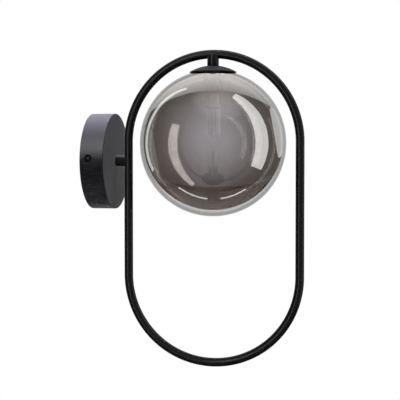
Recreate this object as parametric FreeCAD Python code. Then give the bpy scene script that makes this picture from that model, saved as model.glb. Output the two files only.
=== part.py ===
"""Globe wall sconce: a round canopy, a short arm, a stadium loop of round tube, and a globe under its top.

Millimetres. Origin on the wall plane, on the canopy's axis. +X leaves the wall, +Z is up, and the
loop lies in the plane Y = 0.
"""

import FreeCAD, Part
import math
import os

Vector = FreeCAD.Vector
X = Vector(1, 0, 0)
Y = Vector(0, 1, 0)
Z = Vector(0, 0, 1)

# ---- driving dimensions ----------------------------------------------------------------------------

CANOPY_R = 49.5
CANOPY_DEPTH = 24.5
CANOPY_WALL = 1.2
CANOPY_EDGE_R = 0.5

TUBE_R = 4.5
TUBE_BORE_R = 3.5
LOOP_HALF_WIDTH = 89.75
LOOP_HALF_HEIGHT = 158.5
LOOP_X = 127.5
LOOP_Z = -49.0

SLEEVE_R = 6.0
SLEEVE_EDGE_R = 0.6
THREAD_R = 5.0
THREAD_PLAY = 0.02
NIPPLE_BORE_R = 3.5
NUT_ACROSS_FLATS = 14.0
NUT_HEIGHT = 3.0
ARM_WASHER_R = 9.0
ARM_WASHER_SHEET = 0.8
NIPPLE_START_X = 15.0
NIPPLE_END_X = 31.0
STEM_NIPPLE_TOP = 104.2
STEM_NIPPLE_FOOT = 88.6

GLOBE_R = 75.0
GLOBE_Z = 18.5
GLASS_WALL = 1.8
LIP_TOP = 91.9
LIP_OUT_R = 18.0
LIP_BORE_R = 15.0
LIP_WALL = 2.4
LIP_DEPTH = 6.0
LIP_ROUND = 0.5
GASKET_SHEET = 1.0
GASKET_INSET = 0.3

CAP_R = 24.0
CAP_TOP = 97.9
CAP_RIM = 90.7
CAP_EDGE = 0.6
CAP_SHEET = 1.0

GALLERY_R = 14.7
GALLERY_WALL = 1.5
GALLERY_DISC = 1.4
GALLERY_FOOT = 86.0

STRAP_WIDTH = 18.0
STRAP_SHEET = 1.5
STRAP_BEND_R = 3.0
EAR_REACH = 15.0
EAR_TIP_R = 3.0
TAB_HALF_WIDTH = 12.0
TAB_CORNER_R = 2.0
WALL_SLOT_SPACING = 60.0
WALL_SLOT_WIDTH = 5.0
WALL_SLOT_LENGTH = 12.0
CABLE_HOLE_R = 6.0

SIDE_SCREW_X = 8.8
SIDE_SCREW_Z = 3.0
SIDE_SHANK_R = 1.9
SIDE_THREAD_R = 2.0
SIDE_SHANK_LENGTH = 7.0
SIDE_HEAD_DEPTH = 1.9
SIDE_HEAD_INSET = 0.45
SIDE_HEAD_PLAY = 0.45
SIDE_RECESS_DEPTH = 1.3
SIDE_RECESS_SIZE = 4.2
DIMPLE_DEPTH = 2.6
DIMPLE_MOUTH_R = 4.6
DIMPLE_FLOOR_R = 2.3
DIMPLE_SHEET = 1.0

EARTH_Y = 17.0
EARTH_Z = 3.0
EARTH_SCREW_R = 2.0
EARTH_HEAD_R = 3.8
EARTH_HEAD_HEIGHT = 2.4
EARTH_WASHER_SHEET = 0.7
LUG_SHEET = 0.8
LUG_EYE_R = 4.0
LUG_TAIL = 8.0
LUG_TAIL_WIDTH = 3.2
LUG_CRIMP_R = 1.4
LUG_CRIMP_LENGTH = 3.4

BLOCK_PITCH = 10.0
BLOCK_LENGTH = 30.0
BLOCK_WIDTH = 16.0
BLOCK_HEIGHT = 13.0
BLOCK_FLOOR = 4.0
BLOCK_Z = -21.0
BARREL_R = 2.4
BARREL_BORE_R = 1.4
TUNNEL_R = 3.8
TOWER_R = 3.3
TOWER_BORE_R = 2.1
TOWER_OFFSET = 4.0
CLAMP_SCREW_R = 1.25
CLAMP_HEAD_R = 1.9
BLOCK_SCREW_R = 1.25
BLOCK_HEAD_R = 2.05
BLOCK_HEAD_HEIGHT = 1.6

LEAD_R = 0.8
LEAD_SPREAD = 1.0
LEAD_HOLE_R = 3.2
LEAD_ENTRY = 3.0
LEAD_ARM_BEND_R = 6.0
LEAD_STEM_BEND_R = 4.2
LEAD_SHORTCUT = 4.25
BUSH_BORE_R = 2.6
BUSH_FLANGE = 0.8
BUSH_LENGTH = 4.0

BRACKET_SHEET = 0.8
BRACKET_HALF_WIDTH = 6.0
BRACKET_LEG_FOOT = 78.0
HOLDER_HALF_X = 7.0
HOLDER_HALF_Y = 10.0
HOLDER_TOP = 87.4
HOLDER_FOOT = 69.4
HOLDER_CORNER_R = 3.0
HOLDER_SCREW_Z = 81.0
HOLDER_SCREW_R = 1.18
HOLDER_SCREW_REACH = 4.5
HOLDER_SCREW_HEAD_R = 2.3
POCKET_HALF_X = 1.7
POCKET_HALF_Y = 1.6
POCKET_TOP = 84.0
CONTACT_SHEET = 0.35
CONTACT_PLAY = 0.06
CONTACT_HALF_WIDTH = 1.3

PIN_SPACING = 9.0
PIN_WIRE_R = 0.4
PIN_LEG_X = 0.8
PIN_REACH = 8.2
BULB_TOP = 69.2
BULB_BASE_HEIGHT = 15.0
BULB_BASE_R = 7.2
BULB_BASE_HALF_X = 5.4
BULB_COLLAR_R = 7.8
BULB_COLLAR_HEIGHT = 4.0
BULB_COVER_R = 7.5
BULB_COVER_WALL = 1.0
BULB_LENGTH = 47.0
CORE_HALF_WIDTH = 4.5
CORE_HALF_SHEET = 0.7
CORE_LENGTH = 27.0

# how far a cutter runs past the face it cuts through
OVERCUT = 1.0

# ---- worked out from them --------------------------------------------------------------------------

TUBE_X = LOOP_X - LOOP_HALF_WIDTH
TUBE_TOP_Z = LOOP_Z + LOOP_HALF_HEIGHT
STRAIGHT_HALF = LOOP_HALF_HEIGHT - LOOP_HALF_WIDTH
CAP_SPHERE_R = (CAP_R**2 + (CAP_TOP - CAP_RIM - CAP_EDGE) ** 2) / (2 * (CAP_TOP - CAP_RIM - CAP_EDGE))
CAP_SPHERE_Z = CAP_TOP - CAP_SPHERE_R
EAR_OUT_Y = CANOPY_R - DIMPLE_DEPTH
DIMPLE_SLOPE = (DIMPLE_MOUTH_R - DIMPLE_FLOOR_R) / DIMPLE_DEPTH
BARREL_X = STRAP_SHEET + 6.0
BLOCK_TOP_X = STRAP_SHEET + BLOCK_HEIGHT
BLOCK_SEAT_X = STRAP_SHEET + BLOCK_FLOOR
LUG_TAIL_X = STRAP_SHEET + 1.5
TAIL_WAY = Vector(0, -1, -1).normalize()
POLES = [BLOCK_PITCH * k for k in (-1, 0, 1)]
ARM_WASHER_X = CANOPY_DEPTH - CANOPY_WALL


def cap_inner_z(radius):
    """Height of the cap's inner face at a distance from its axis."""
    return CAP_SPHERE_Z + math.sqrt((CAP_SPHERE_R - CAP_SHEET) ** 2 - radius**2)


GALLERY_TOP = cap_inner_z(GALLERY_R) - THREAD_PLAY
BRACKET_TOP = GALLERY_TOP - GALLERY_DISC
STEM_NUT_TOP = BRACKET_TOP - BRACKET_SHEET


# ---- shared shapes ---------------------------------------------------------------------------------


def rod(radius, length, start, direction):
    """Solid cylinder from a start point along a direction."""
    return Part.makeCylinder(radius, length, start, direction)


def drill(radius, length, start, direction):
    """Cylinder cutter that runs past both faces of a wall."""
    return rod(radius, length + 2 * OVERCUT, start - direction * OVERCUT, direction)


def ring(outer, inner, length, start, direction):
    """Round tube or washer."""
    return rod(outer, length, start, direction).cut(drill(inner, length, start, direction))


def block(low, high):
    """Box between two corners."""
    size = high - low
    return Part.makeBox(size.x, size.y, size.z, low)


def prism(points, rise):
    """Solid drawn from a closed list of points along a vector."""
    return Part.Face(Part.makePolygon(points + points[:1])).extrude(rise)


def side_ways(direction):
    """Two unit vectors square to a direction that lies along an axis."""
    side = Z if abs(direction.z) < 0.5 else X
    return side, direction.cross(side)


def bar(centre, along, across, size, width, rise):
    """Rectangular bar centred on a point of its near face."""
    low = centre - along * (size / 2) - across * (width / 2)
    return prism([low, low + along * size, low + along * size + across * width, low + across * width], rise)


def slot(centre, length, width, depth, along, through):
    """Round-ended slot cutter: centre on its near face, long axis along, cut along through."""
    straight = length - width
    middle = bar(centre, along, through.cross(along), straight, width, through * depth)
    ends = [rod(width / 2, depth, centre + along * (side * straight / 2), through) for side in (-1, 1)]
    return middle.fuse(ends).removeSplitter()


def cross_recess(centre, direction, size, depth):
    """Cross-shaped driver recess, from its floor out through the head's face."""
    side, other = side_ways(direction)
    width = size * 0.24
    rise = direction * (depth + OVERCUT)
    return bar(centre, side, other, size, width, rise).fuse(bar(centre, other, side, size, width, rise))


def pan_screw(tip, direction, shank_r, shank_length, head_r, head_height):
    """Pan-head screw: its tip, the direction from tip to head, and a cross recess."""
    seat = tip + direction * shank_length
    top = seat + direction * head_height
    head = rod(head_r, head_height, seat, direction)
    rims = [edge for edge in head.Edges if edge.BoundBox.Center.distanceToPoint(top) < 0.01]
    head = head.makeFillet(head_height * 0.45, rims)
    recess_depth = head_height * 0.6
    screw = rod(shank_r, shank_length, tip, direction).fuse(head).removeSplitter()
    return screw.cut(cross_recess(top - direction * recess_depth, direction, head_r * 1.2, recess_depth))


def hex_nut(start, direction, across_flats, height, first_corner_deg):
    """Hexagon nut with chamfered corners, from its first face along a direction."""
    corner_r = across_flats / math.sqrt(3)
    side, other = side_ways(direction)
    turns = [math.radians(first_corner_deg + 60 * k) for k in range(6)]
    points = [start + side * (corner_r * math.cos(t)) + other * (corner_r * math.sin(t)) for t in turns]
    body = prism(points, direction * height)
    small = across_flats / 2 + 0.2
    body = body.common(Part.makeCone(small + height, small, height, start, direction))
    body = body.common(Part.makeCone(small, small + height, height, start, direction))
    return body.cut(drill(THREAD_R, height, start, direction))


def toothed_washer(start, direction, outer, inner, sheet, teeth):
    """Lock washer with notches round its bore."""
    side, other = side_ways(direction)
    notches = []
    for k in range(teeth):
        turn = 2 * math.pi * k / teeth
        way = side * math.cos(turn) + other * math.sin(turn)
        notches.append(drill((outer - inner) * 0.24, sheet, start + way * inner, direction))
    return ring(outer, inner, sheet, start, direction).cut(notches[0].multiFuse(notches[1:]))


def route(points, radii):
    """Wire along straight runs joined by tangent arcs, one radius for each inner point."""
    edges = []
    last = points[0]
    for before, corner, after, radius in zip(points, points[1:], points[2:], radii):
        come = (corner - before).normalize()
        leave = (after - corner).normalize()
        half_turn = come.getAngle(leave) / 2
        setback = radius * math.tan(half_turn)
        start = corner - come * setback
        end = corner + leave * setback
        inward = (leave - come).normalize()
        middle = corner + inward * (radius / math.cos(half_turn) - radius)
        edges.append(Part.LineSegment(last, start).toShape())
        edges.append(Part.Arc(start, middle, end).toShape())
        last = end
    edges.append(Part.LineSegment(last, points[-1]).toShape())
    return Part.Wire(edges)


def lead(points, radii):
    """Insulated wire of round section along a route."""
    path = route(points, radii)
    circle = Part.makeCircle(LEAD_R, points[0], (points[1] - points[0]).normalize())
    solid = path.makePipeShell([Part.Wire([circle])], True, False)
    fill = solid.Volume / (math.pi * LEAD_R**2 * path.Length)
    print(f"lead: {path.Length:.1f} mm long, volume over section times length {fill:.4f}")
    return solid


# ---- wall bracket, canopy and their screws ---------------------------------------------------------


def bent_box(low, high, radius):
    """Box with its two vertical edges on the wall side rounded."""
    box = block(low, high)
    bends = [e for e in box.Edges if abs(e.BoundBox.Center.x - low.x) < 0.01 and e.BoundBox.ZLength > 1]
    return box.makeFillet(radius, bends)


def make_wall_bracket():
    """Folded strap: two ears carry the side screws, a tab below carries the terminal block."""
    half = STRAP_WIDTH / 2
    ear_in_y = EAR_OUT_Y - STRAP_SHEET
    outer = bent_box(Vector(0, -EAR_OUT_Y, -half), Vector(EAR_REACH, EAR_OUT_Y, half), STRAP_BEND_R)
    inner_low = Vector(STRAP_SHEET, -ear_in_y, -half - OVERCUT)
    inner_high = Vector(EAR_REACH + OVERCUT, ear_in_y, half + OVERCUT)
    strap = outer.cut(bent_box(inner_low, inner_high, STRAP_BEND_R - STRAP_SHEET))
    tips = []
    for edge in strap.Edges:
        box = edge.BoundBox
        if abs(box.Center.x - EAR_REACH) < 0.01 and 0.1 < box.YLength < STRAP_SHEET + 0.1:
            tips.append(edge)
    strap = strap.makeFillet(EAR_TIP_R, tips)
    tab_foot = BLOCK_Z - BLOCK_WIDTH / 2 - OVERCUT
    tab = block(Vector(0, -TAB_HALF_WIDTH, tab_foot), Vector(STRAP_SHEET, TAB_HALF_WIDTH, -half + OVERCUT))
    corners = [e for e in tab.Edges if e.BoundBox.XLength > 1 and abs(e.BoundBox.Center.z - tab_foot) < 0.01]
    strap = strap.fuse(tab.makeFillet(TAB_CORNER_R, corners)).removeSplitter()
    for side in (-1, 1):
        slot_start = Vector(-OVERCUT, side * WALL_SLOT_SPACING / 2, 0)
        slot_depth = STRAP_SHEET + 2 * OVERCUT
        strap = strap.cut(slot(slot_start, WALL_SLOT_LENGTH, WALL_SLOT_WIDTH, slot_depth, Y, X))
        ear_hole = Vector(SIDE_SCREW_X, side * ear_in_y, SIDE_SCREW_Z)
        strap = strap.cut(drill(SIDE_THREAD_R, STRAP_SHEET, ear_hole, Y * side))
        strap = strap.cut(drill(BLOCK_SCREW_R, STRAP_SHEET, Vector(0, side * BLOCK_PITCH / 2, BLOCK_Z), X))
    strap = strap.cut(drill(CABLE_HOLE_R, STRAP_SHEET, Vector(0, 0, 0), X))
    return strap.cut(drill(EARTH_SCREW_R, STRAP_SHEET, Vector(0, EARTH_Y, EARTH_Z), X))


def make_canopy():
    """Drawn cup with two dimpled screw holes and a hole for the arm's nipple."""
    disc = rod(CANOPY_R, CANOPY_DEPTH, Vector(0, 0, 0), X)
    rim = [e for e in disc.Edges if abs(e.BoundBox.Center.x - CANOPY_DEPTH) < 0.01 and e.BoundBox.YLength > 1]
    cup = disc.makeFillet(CANOPY_EDGE_R, rim)
    cup = cup.cut(rod(CANOPY_R - CANOPY_WALL, CANOPY_DEPTH - CANOPY_WALL + OVERCUT, X * -OVERCUT, X))
    cup = cup.cut(drill(THREAD_R + 0.2, CANOPY_WALL, X * (CANOPY_DEPTH - CANOPY_WALL), X))
    for side in (-1, 1):
        floor = Vector(SIDE_SCREW_X, side * EAR_OUT_Y, SIDE_SCREW_Z)
        wall_foot_r = DIMPLE_FLOOR_R + DIMPLE_SHEET
        wall = Part.makeCone(wall_foot_r, DIMPLE_MOUTH_R + DIMPLE_SHEET, DIMPLE_DEPTH, floor, Y * side)
        mouth_r = DIMPLE_MOUTH_R + DIMPLE_SLOPE * OVERCUT
        hollow = Part.makeCone(DIMPLE_FLOOR_R, mouth_r, DIMPLE_DEPTH + OVERCUT, floor, Y * side)
        cup = cup.fuse(wall.common(disc)).cut(hollow).removeSplitter()
    return cup


def make_side_screw(side):
    """M4 screw with a countersunk head that sits just inside the canopy's dimple."""
    outward = Y * side
    head_top = CANOPY_R - SIDE_HEAD_INSET
    head_foot = head_top - SIDE_HEAD_DEPTH
    foot_r = DIMPLE_FLOOR_R + DIMPLE_SLOPE * (head_foot - EAR_OUT_Y) - SIDE_HEAD_PLAY
    top_r = foot_r + DIMPLE_SLOPE * SIDE_HEAD_DEPTH
    seat = Vector(SIDE_SCREW_X, side * head_foot, SIDE_SCREW_Z)
    head = Part.makeCone(foot_r, top_r, SIDE_HEAD_DEPTH, seat, outward)
    shank = rod(SIDE_SHANK_R, SIDE_SHANK_LENGTH, seat - outward * SIDE_SHANK_LENGTH, outward)
    recess_floor = seat + outward * (SIDE_HEAD_DEPTH - SIDE_RECESS_DEPTH)
    recess = cross_recess(recess_floor, outward, SIDE_RECESS_SIZE, SIDE_RECESS_DEPTH)
    return head.fuse(shank).removeSplitter().cut(recess)


# ---- earth fixing and terminal block ---------------------------------------------------------------


def make_earth_screw():
    """M4 screw that clamps the earth lug to the strap."""
    grip = STRAP_SHEET + LUG_SHEET + EARTH_WASHER_SHEET
    tip = Vector(0.1, EARTH_Y, EARTH_Z)
    return pan_screw(tip, X, EARTH_SCREW_R - THREAD_PLAY, grip - tip.x, EARTH_HEAD_R, EARTH_HEAD_HEIGHT)


def make_earth_washer():
    """Serrated washer under the earth screw's head."""
    start = Vector(STRAP_SHEET + LUG_SHEET, EARTH_Y, EARTH_Z)
    return toothed_washer(start, X, EARTH_HEAD_R + 0.1, EARTH_SCREW_R + 0.1, EARTH_WASHER_SHEET, 8)


def make_earth_lug():
    """Ring tag with a crimped tail that points at the terminal block."""
    eye = Vector(STRAP_SHEET, EARTH_Y, EARTH_Z)
    middle = eye + TAIL_WAY * (LUG_TAIL / 2)
    tail = bar(middle, TAIL_WAY, X.cross(TAIL_WAY), LUG_TAIL, LUG_TAIL_WIDTH, X * LUG_SHEET)
    crimp_start = Vector(LUG_TAIL_X, EARTH_Y, EARTH_Z) + TAIL_WAY * (LUG_TAIL - LUG_CRIMP_LENGTH)
    crimp = rod(LUG_CRIMP_R, LUG_CRIMP_LENGTH, crimp_start, TAIL_WAY)
    tag = rod(LUG_EYE_R, LUG_SHEET, eye, X).fuse([tail, crimp]).removeSplitter()
    tag = tag.cut(drill(EARTH_SCREW_R + 0.1, LUG_SHEET, eye, X))
    return tag.cut(rod(LEAD_R, LUG_CRIMP_LENGTH + OVERCUT, crimp_start, TAIL_WAY))


def make_terminal_housing():
    """Three-pole nylon block: a tunnel for each brass barrel and a tower over each clamp screw."""
    low_z = BLOCK_Z - BLOCK_WIDTH / 2
    half_length = BLOCK_LENGTH / 2
    floor_low = Vector(STRAP_SHEET, -half_length, low_z + 1.5)
    floor_high = Vector(BLOCK_SEAT_X, half_length, low_z + BLOCK_WIDTH - 1.5)
    solids = []
    for y in POLES:
        solids.append(rod(TUNNEL_R, BLOCK_WIDTH, Vector(BARREL_X, y, low_z), Z))
        for side in (-1, 1):
            foot = Vector(BARREL_X, y, BLOCK_Z + side * TOWER_OFFSET)
            solids.append(rod(TOWER_R, BLOCK_TOP_X - BARREL_X, foot, X))
    body = block(floor_low, floor_high).multiFuse(solids).removeSplitter()
    for y in POLES:
        body = body.cut(drill(BARREL_R, BLOCK_WIDTH, Vector(BARREL_X, y, low_z), Z))
        for side in (-1, 1):
            foot = Vector(BARREL_X, y, BLOCK_Z + side * TOWER_OFFSET)
            body = body.cut(rod(TOWER_BORE_R, BLOCK_HEIGHT, foot, X))
    for side in (-1, 1):
        hole = Vector(STRAP_SHEET, side * BLOCK_PITCH / 2, BLOCK_Z)
        body = body.cut(drill(BLOCK_SCREW_R + 0.2, BLOCK_FLOOR, hole, X))
        body = body.cut(rod(BLOCK_HEAD_R + 0.2, BLOCK_HEIGHT, hole + X * BLOCK_FLOOR, X))
    return body


def make_terminal_barrels():
    """Brass barrels with a wire bore and two tapped clamp holes each."""
    length = BLOCK_WIDTH - 2
    barrels = []
    for y in POLES:
        start = Vector(BARREL_X, y, BLOCK_Z - length / 2)
        barrel = ring(BARREL_R - THREAD_PLAY, BARREL_BORE_R, length, start, Z)
        for side in (-1, 1):
            foot = Vector(BARREL_X, y, BLOCK_Z + side * TOWER_OFFSET)
            barrel = barrel.cut(rod(CLAMP_SCREW_R + 0.05, BARREL_R + OVERCUT, foot, X))
        barrels.append(barrel)
    return Part.makeCompound(barrels)


def make_terminal_screws():
    """Six clamp screws, two to a pole."""
    screws = []
    for y in POLES:
        for side in (-1, 1):
            tip = Vector(BARREL_X + LEAD_R + 0.1, y, BLOCK_Z + side * TOWER_OFFSET)
            screws.append(pan_screw(tip, X, CLAMP_SCREW_R, BARREL_R, CLAMP_HEAD_R, BLOCK_HEAD_HEIGHT))
    return Part.makeCompound(screws)


def make_terminal_fixing_screws():
    """Two screws that hold the block to the bracket's tab."""
    screws = []
    for side in (-1, 1):
        tip = Vector(0.1, side * BLOCK_PITCH / 2, BLOCK_Z)
        shank = BLOCK_SEAT_X - tip.x
        screws.append(pan_screw(tip, X, BLOCK_SCREW_R - THREAD_PLAY, shank, BLOCK_HEAD_R, BLOCK_HEAD_HEIGHT))
    return Part.makeCompound(screws)


# ---- arm, frame and stem ---------------------------------------------------------------------------


def make_arm_lock_washer():
    """Toothed washer between the nut and the canopy."""
    start = X * (ARM_WASHER_X - ARM_WASHER_SHEET)
    return toothed_washer(start, X, ARM_WASHER_R, THREAD_R + 0.15, ARM_WASHER_SHEET, 10)


def make_arm_nut():
    """Thin M10 x 1 nut inside the canopy."""
    start = X * (ARM_WASHER_X - ARM_WASHER_SHEET - NUT_HEIGHT)
    return hex_nut(start, X, NUT_ACROSS_FLATS, NUT_HEIGHT, 0)


def make_nipple(start, direction, length):
    """Hollow M10 x 1 threaded nipple with chamfered ends."""
    body = rod(THREAD_R - THREAD_PLAY, length, start, direction)
    ends = [e for e in body.Edges if abs(e.Length - 2 * math.pi * (THREAD_R - THREAD_PLAY)) < 0.01]
    return body.makeChamfer(0.5, ends).cut(drill(NIPPLE_BORE_R, length, start, direction))


def loop_solid(radius):
    """Stadium loop of a solid round section."""
    left = Vector(TUBE_X, 0, LOOP_Z - STRAIGHT_HALF)
    right = left + X * (2 * LOOP_HALF_WIDTH)
    rise = Z * (2 * STRAIGHT_HALF)
    foot_centre = left + X * LOOP_HALF_WIDTH
    section = Part.Face(Part.Wire([Part.makeCircle(radius, left, Z)]))
    foot_bend = section.revolve(foot_centre, Y, -180)
    top_section = Part.Face(Part.Wire([Part.makeCircle(radius, left + rise, Z)]))
    top_bend = top_section.revolve(foot_centre + rise, Y, 180)
    runs = [rod(radius, rise.Length, start, Z) for start in (left, right)]
    return foot_bend.multiFuse(runs + [top_bend]).removeSplitter()


def make_frame_tube(loop):
    """Closed loop of thin-walled tube, drilled where the leads come in and go out."""
    arm_hole = rod(LEAD_HOLE_R, TUBE_R, X * (TUBE_X - TUBE_R - OVERCUT), X)
    stem_hole = rod(LEAD_HOLE_R, TUBE_R, Vector(LOOP_X, 0, TUBE_TOP_Z - TUBE_R - OVERCUT), Z)
    return loop.cut(loop_solid(TUBE_BORE_R)).cut(arm_hole).cut(stem_hole)


def sleeve(start, direction, length, thread_depth, loop):
    """Turned sleeve with a threaded mouth, its far end saddle-cut over the loop's tube."""
    body = rod(SLEEVE_R, length, start, direction)
    far = start + direction * length
    ends = [e for e in body.Edges if e.BoundBox.Center.distanceToPoint(far) < 0.01]
    body = body.makeFillet(SLEEVE_EDGE_R, ends)
    body = body.cut(rod(THREAD_R, thread_depth + OVERCUT, start - direction * OVERCUT, direction))
    return body.cut(drill(NIPPLE_BORE_R, length, start, direction)).cut(loop)


def make_arm_sleeve(loop):
    """The arm: from the canopy's face to the left run of the loop."""
    thread = NIPPLE_END_X - CANOPY_DEPTH + 0.5
    return sleeve(X * CANOPY_DEPTH, X, TUBE_X - CANOPY_DEPTH, thread, loop)


def make_stem_sleeve(loop):
    """The stem: seated on the dome, and up round the loop's tube."""
    foot = CAP_TOP - 0.8
    thread = STEM_NIPPLE_TOP - foot + 0.3
    dome = Part.makeSphere(CAP_SPHERE_R, Vector(LOOP_X, 0, CAP_SPHERE_Z))
    return sleeve(Vector(LOOP_X, 0, foot), Z, TUBE_TOP_Z - foot, thread, loop).cut(dome)


def make_nipple_bushes():
    """Nylon bushes in the nipples' open ends."""
    bushes = []
    for start, inward in ((X * NIPPLE_START_X, X), (Vector(LOOP_X, 0, STEM_NIPPLE_FOOT), Z)):
        flange = rod(THREAD_R - 0.4, BUSH_FLANGE, start - inward * BUSH_FLANGE, inward)
        barrel = rod(NIPPLE_BORE_R - THREAD_PLAY, BUSH_LENGTH, start, inward)
        bore = drill(BUSH_BORE_R, BUSH_LENGTH + BUSH_FLANGE, start - inward * BUSH_FLANGE, inward)
        bushes.append(flange.fuse(barrel).removeSplitter().cut(bore))
    return Part.makeCompound(bushes)


# ---- cap, gallery and lamp holder ------------------------------------------------------------------


def spun_on_globe_axis(edges):
    """Solid turned about the globe's axis from a closed outline in the plane Y = 0."""
    solid = Part.Face(Part.Wire(edges)).revolve(Vector(0, 0, 0), Z, 360)
    solid.translate(X * LOOP_X)
    return solid


def line(start, end):
    """Straight edge."""
    return Part.LineSegment(start, end).toShape()


def dome_arc(radius, r_start, r_end):
    """Arc about the cap's centre between two distances from the axis, with its end points."""
    rs = (r_start, (r_start + r_end) / 2, r_end)
    points = [Vector(r, 0, CAP_SPHERE_Z + math.sqrt(radius**2 - r**2)) for r in rs]
    return Part.Arc(*points).toShape(), points[0], points[2]


def make_globe_cap():
    """Spun dome with a plain edge and a hole for the stem's nipple."""
    hole_r = THREAD_R + 0.15
    inner_r = CAP_SPHERE_R - CAP_SHEET
    inner_edge_r = math.sqrt(inner_r**2 - (CAP_RIM - CAP_SPHERE_Z) ** 2)
    outer, outer_top, outer_edge = dome_arc(CAP_SPHERE_R, hole_r, CAP_R)
    inner, inner_edge, inner_top = dome_arc(inner_r, inner_edge_r, hole_r)
    rim = Vector(CAP_R, 0, CAP_RIM)
    edges = [outer, line(outer_edge, rim), line(rim, inner_edge), inner, line(inner_top, outer_top)]
    return spun_on_globe_axis(edges)


def make_thread_gallery():
    """Turned collar under the cap that the glass lip screws onto."""
    foot = Vector(LOOP_X, 0, GALLERY_FOOT)
    height = GALLERY_TOP - GALLERY_FOOT
    cup = rod(GALLERY_R, height, foot, Z)
    cup = cup.cut(rod(GALLERY_R - GALLERY_WALL, height - GALLERY_DISC + OVERCUT, foot - Z * OVERCUT, Z))
    return cup.cut(drill(THREAD_R + 0.1, height, foot, Z))


def make_holder_bracket():
    """Folded bracket: nipple hole on top, a leg down each side of the ceramic."""
    reach = HOLDER_HALF_X + BRACKET_SHEET
    low = Vector(LOOP_X - reach, -BRACKET_HALF_WIDTH, BRACKET_LEG_FOOT)
    high = Vector(LOOP_X + reach, BRACKET_HALF_WIDTH, BRACKET_TOP)
    room_low = Vector(LOOP_X - HOLDER_HALF_X, -BRACKET_HALF_WIDTH - OVERCUT, BRACKET_LEG_FOOT - OVERCUT)
    room_high = Vector(LOOP_X + HOLDER_HALF_X, BRACKET_HALF_WIDTH + OVERCUT, STEM_NUT_TOP)
    bracket = block(low, high).cut(block(room_low, room_high))
    bracket = bracket.cut(drill(THREAD_R + 0.1, BRACKET_SHEET, Vector(LOOP_X, 0, STEM_NUT_TOP), Z))
    return bracket.cut(drill(1.6, 2 * reach, Vector(LOOP_X - reach, 0, HOLDER_SCREW_Z), X))


def make_stem_nut():
    """M10 x 1 nut that clamps bracket, gallery and cap to the stem."""
    start = Vector(LOOP_X, 0, STEM_NUT_TOP - NUT_HEIGHT)
    return hex_nut(start, Z, NUT_ACROSS_FLATS - 0.4, NUT_HEIGHT, 30)


def make_lamp_holder():
    """Ceramic G9 holder with two pin pockets, open below."""
    low = Vector(LOOP_X - HOLDER_HALF_X, -HOLDER_HALF_Y, HOLDER_FOOT)
    high = Vector(LOOP_X + HOLDER_HALF_X, HOLDER_HALF_Y, HOLDER_TOP)
    body = block(low, high)
    body = body.makeFillet(HOLDER_CORNER_R, [e for e in body.Edges if e.BoundBox.ZLength > 1])
    body = body.makeChamfer(0.6, [e for e in body.Edges if abs(e.BoundBox.ZMax - HOLDER_FOOT) < 0.01])
    for side in (-1, 1):
        y = side * PIN_SPACING / 2
        pocket_low = Vector(LOOP_X - POCKET_HALF_X, y - POCKET_HALF_Y, HOLDER_FOOT - OVERCUT)
        pocket_high = Vector(LOOP_X + POCKET_HALF_X, y + POCKET_HALF_Y, POCKET_TOP)
        body = body.cut(block(pocket_low, pocket_high))
        screw_face = Vector(LOOP_X + side * HOLDER_HALF_X, 0, HOLDER_SCREW_Z)
        body = body.cut(rod(HOLDER_SCREW_R + THREAD_PLAY, HOLDER_SCREW_REACH + 0.5, screw_face, X * -side))
    return body


def make_holder_contacts():
    """Two bronze clips that grip the lamp's pins."""
    gap = PIN_WIRE_R + CONTACT_PLAY
    clips = []
    for side in (-1, 1):
        y = side * PIN_SPACING / 2
        low = Vector(LOOP_X - CONTACT_HALF_WIDTH, y - gap - CONTACT_SHEET, HOLDER_FOOT + 2.5)
        high = Vector(LOOP_X + CONTACT_HALF_WIDTH, y + gap + CONTACT_SHEET, POCKET_TOP)
        room_low = Vector(LOOP_X - POCKET_HALF_X, y - gap, HOLDER_FOOT)
        room_high = Vector(LOOP_X + POCKET_HALF_X, y + gap, POCKET_TOP - CONTACT_SHEET)
        clips.append(block(low, high).cut(block(room_low, room_high)))
    return Part.makeCompound(clips)


def make_holder_screws():
    """Two small screws through the bracket's legs into the ceramic."""
    screws = []
    for side in (-1, 1):
        tip = Vector(LOOP_X + side * (HOLDER_HALF_X - HOLDER_SCREW_REACH), 0, HOLDER_SCREW_Z)
        shank = HOLDER_SCREW_REACH + BRACKET_SHEET
        screws.append(pan_screw(tip, X * side, HOLDER_SCREW_R, shank, HOLDER_SCREW_HEAD_R, BLOCK_HEAD_HEIGHT))
    return Part.makeCompound(screws)


# ---- glass and lamp --------------------------------------------------------------------------------


def make_globe():
    """Blown ball with one thick lip at its mouth; the lip carries the thread."""
    top = LIP_TOP - GLOBE_Z
    foot = top - LIP_DEPTH
    inner_r = GLOBE_R - GLASS_WALL
    lip_in_r = LIP_BORE_R + LIP_WALL
    outer_lip = Vector(LIP_OUT_R, 0, math.sqrt(GLOBE_R**2 - LIP_OUT_R**2))
    inner_lip = Vector(lip_in_r, 0, math.sqrt(inner_r**2 - lip_in_r**2))
    outer = Part.Arc(Z * -GLOBE_R, X * GLOBE_R, outer_lip).toShape()
    inner = Part.Arc(inner_lip, X * inner_r, Z * -inner_r).toShape()
    points = [
        outer_lip,
        Vector(LIP_OUT_R - LIP_ROUND, 0, top),
        Vector(LIP_BORE_R + LIP_ROUND, 0, top),
        Vector(LIP_BORE_R, 0, top - LIP_ROUND),
        Vector(LIP_BORE_R, 0, foot + LIP_ROUND),
        Vector(LIP_BORE_R + LIP_ROUND, 0, foot),
        Vector(lip_in_r, 0, foot),
        inner_lip,
    ]
    lip = [line(a, b) for a, b in zip(points, points[1:])]
    glass = spun_on_globe_axis([outer] + lip + [inner, line(Z * -inner_r, Z * -GLOBE_R)])
    glass.translate(Z * GLOBE_Z)
    return glass


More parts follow.
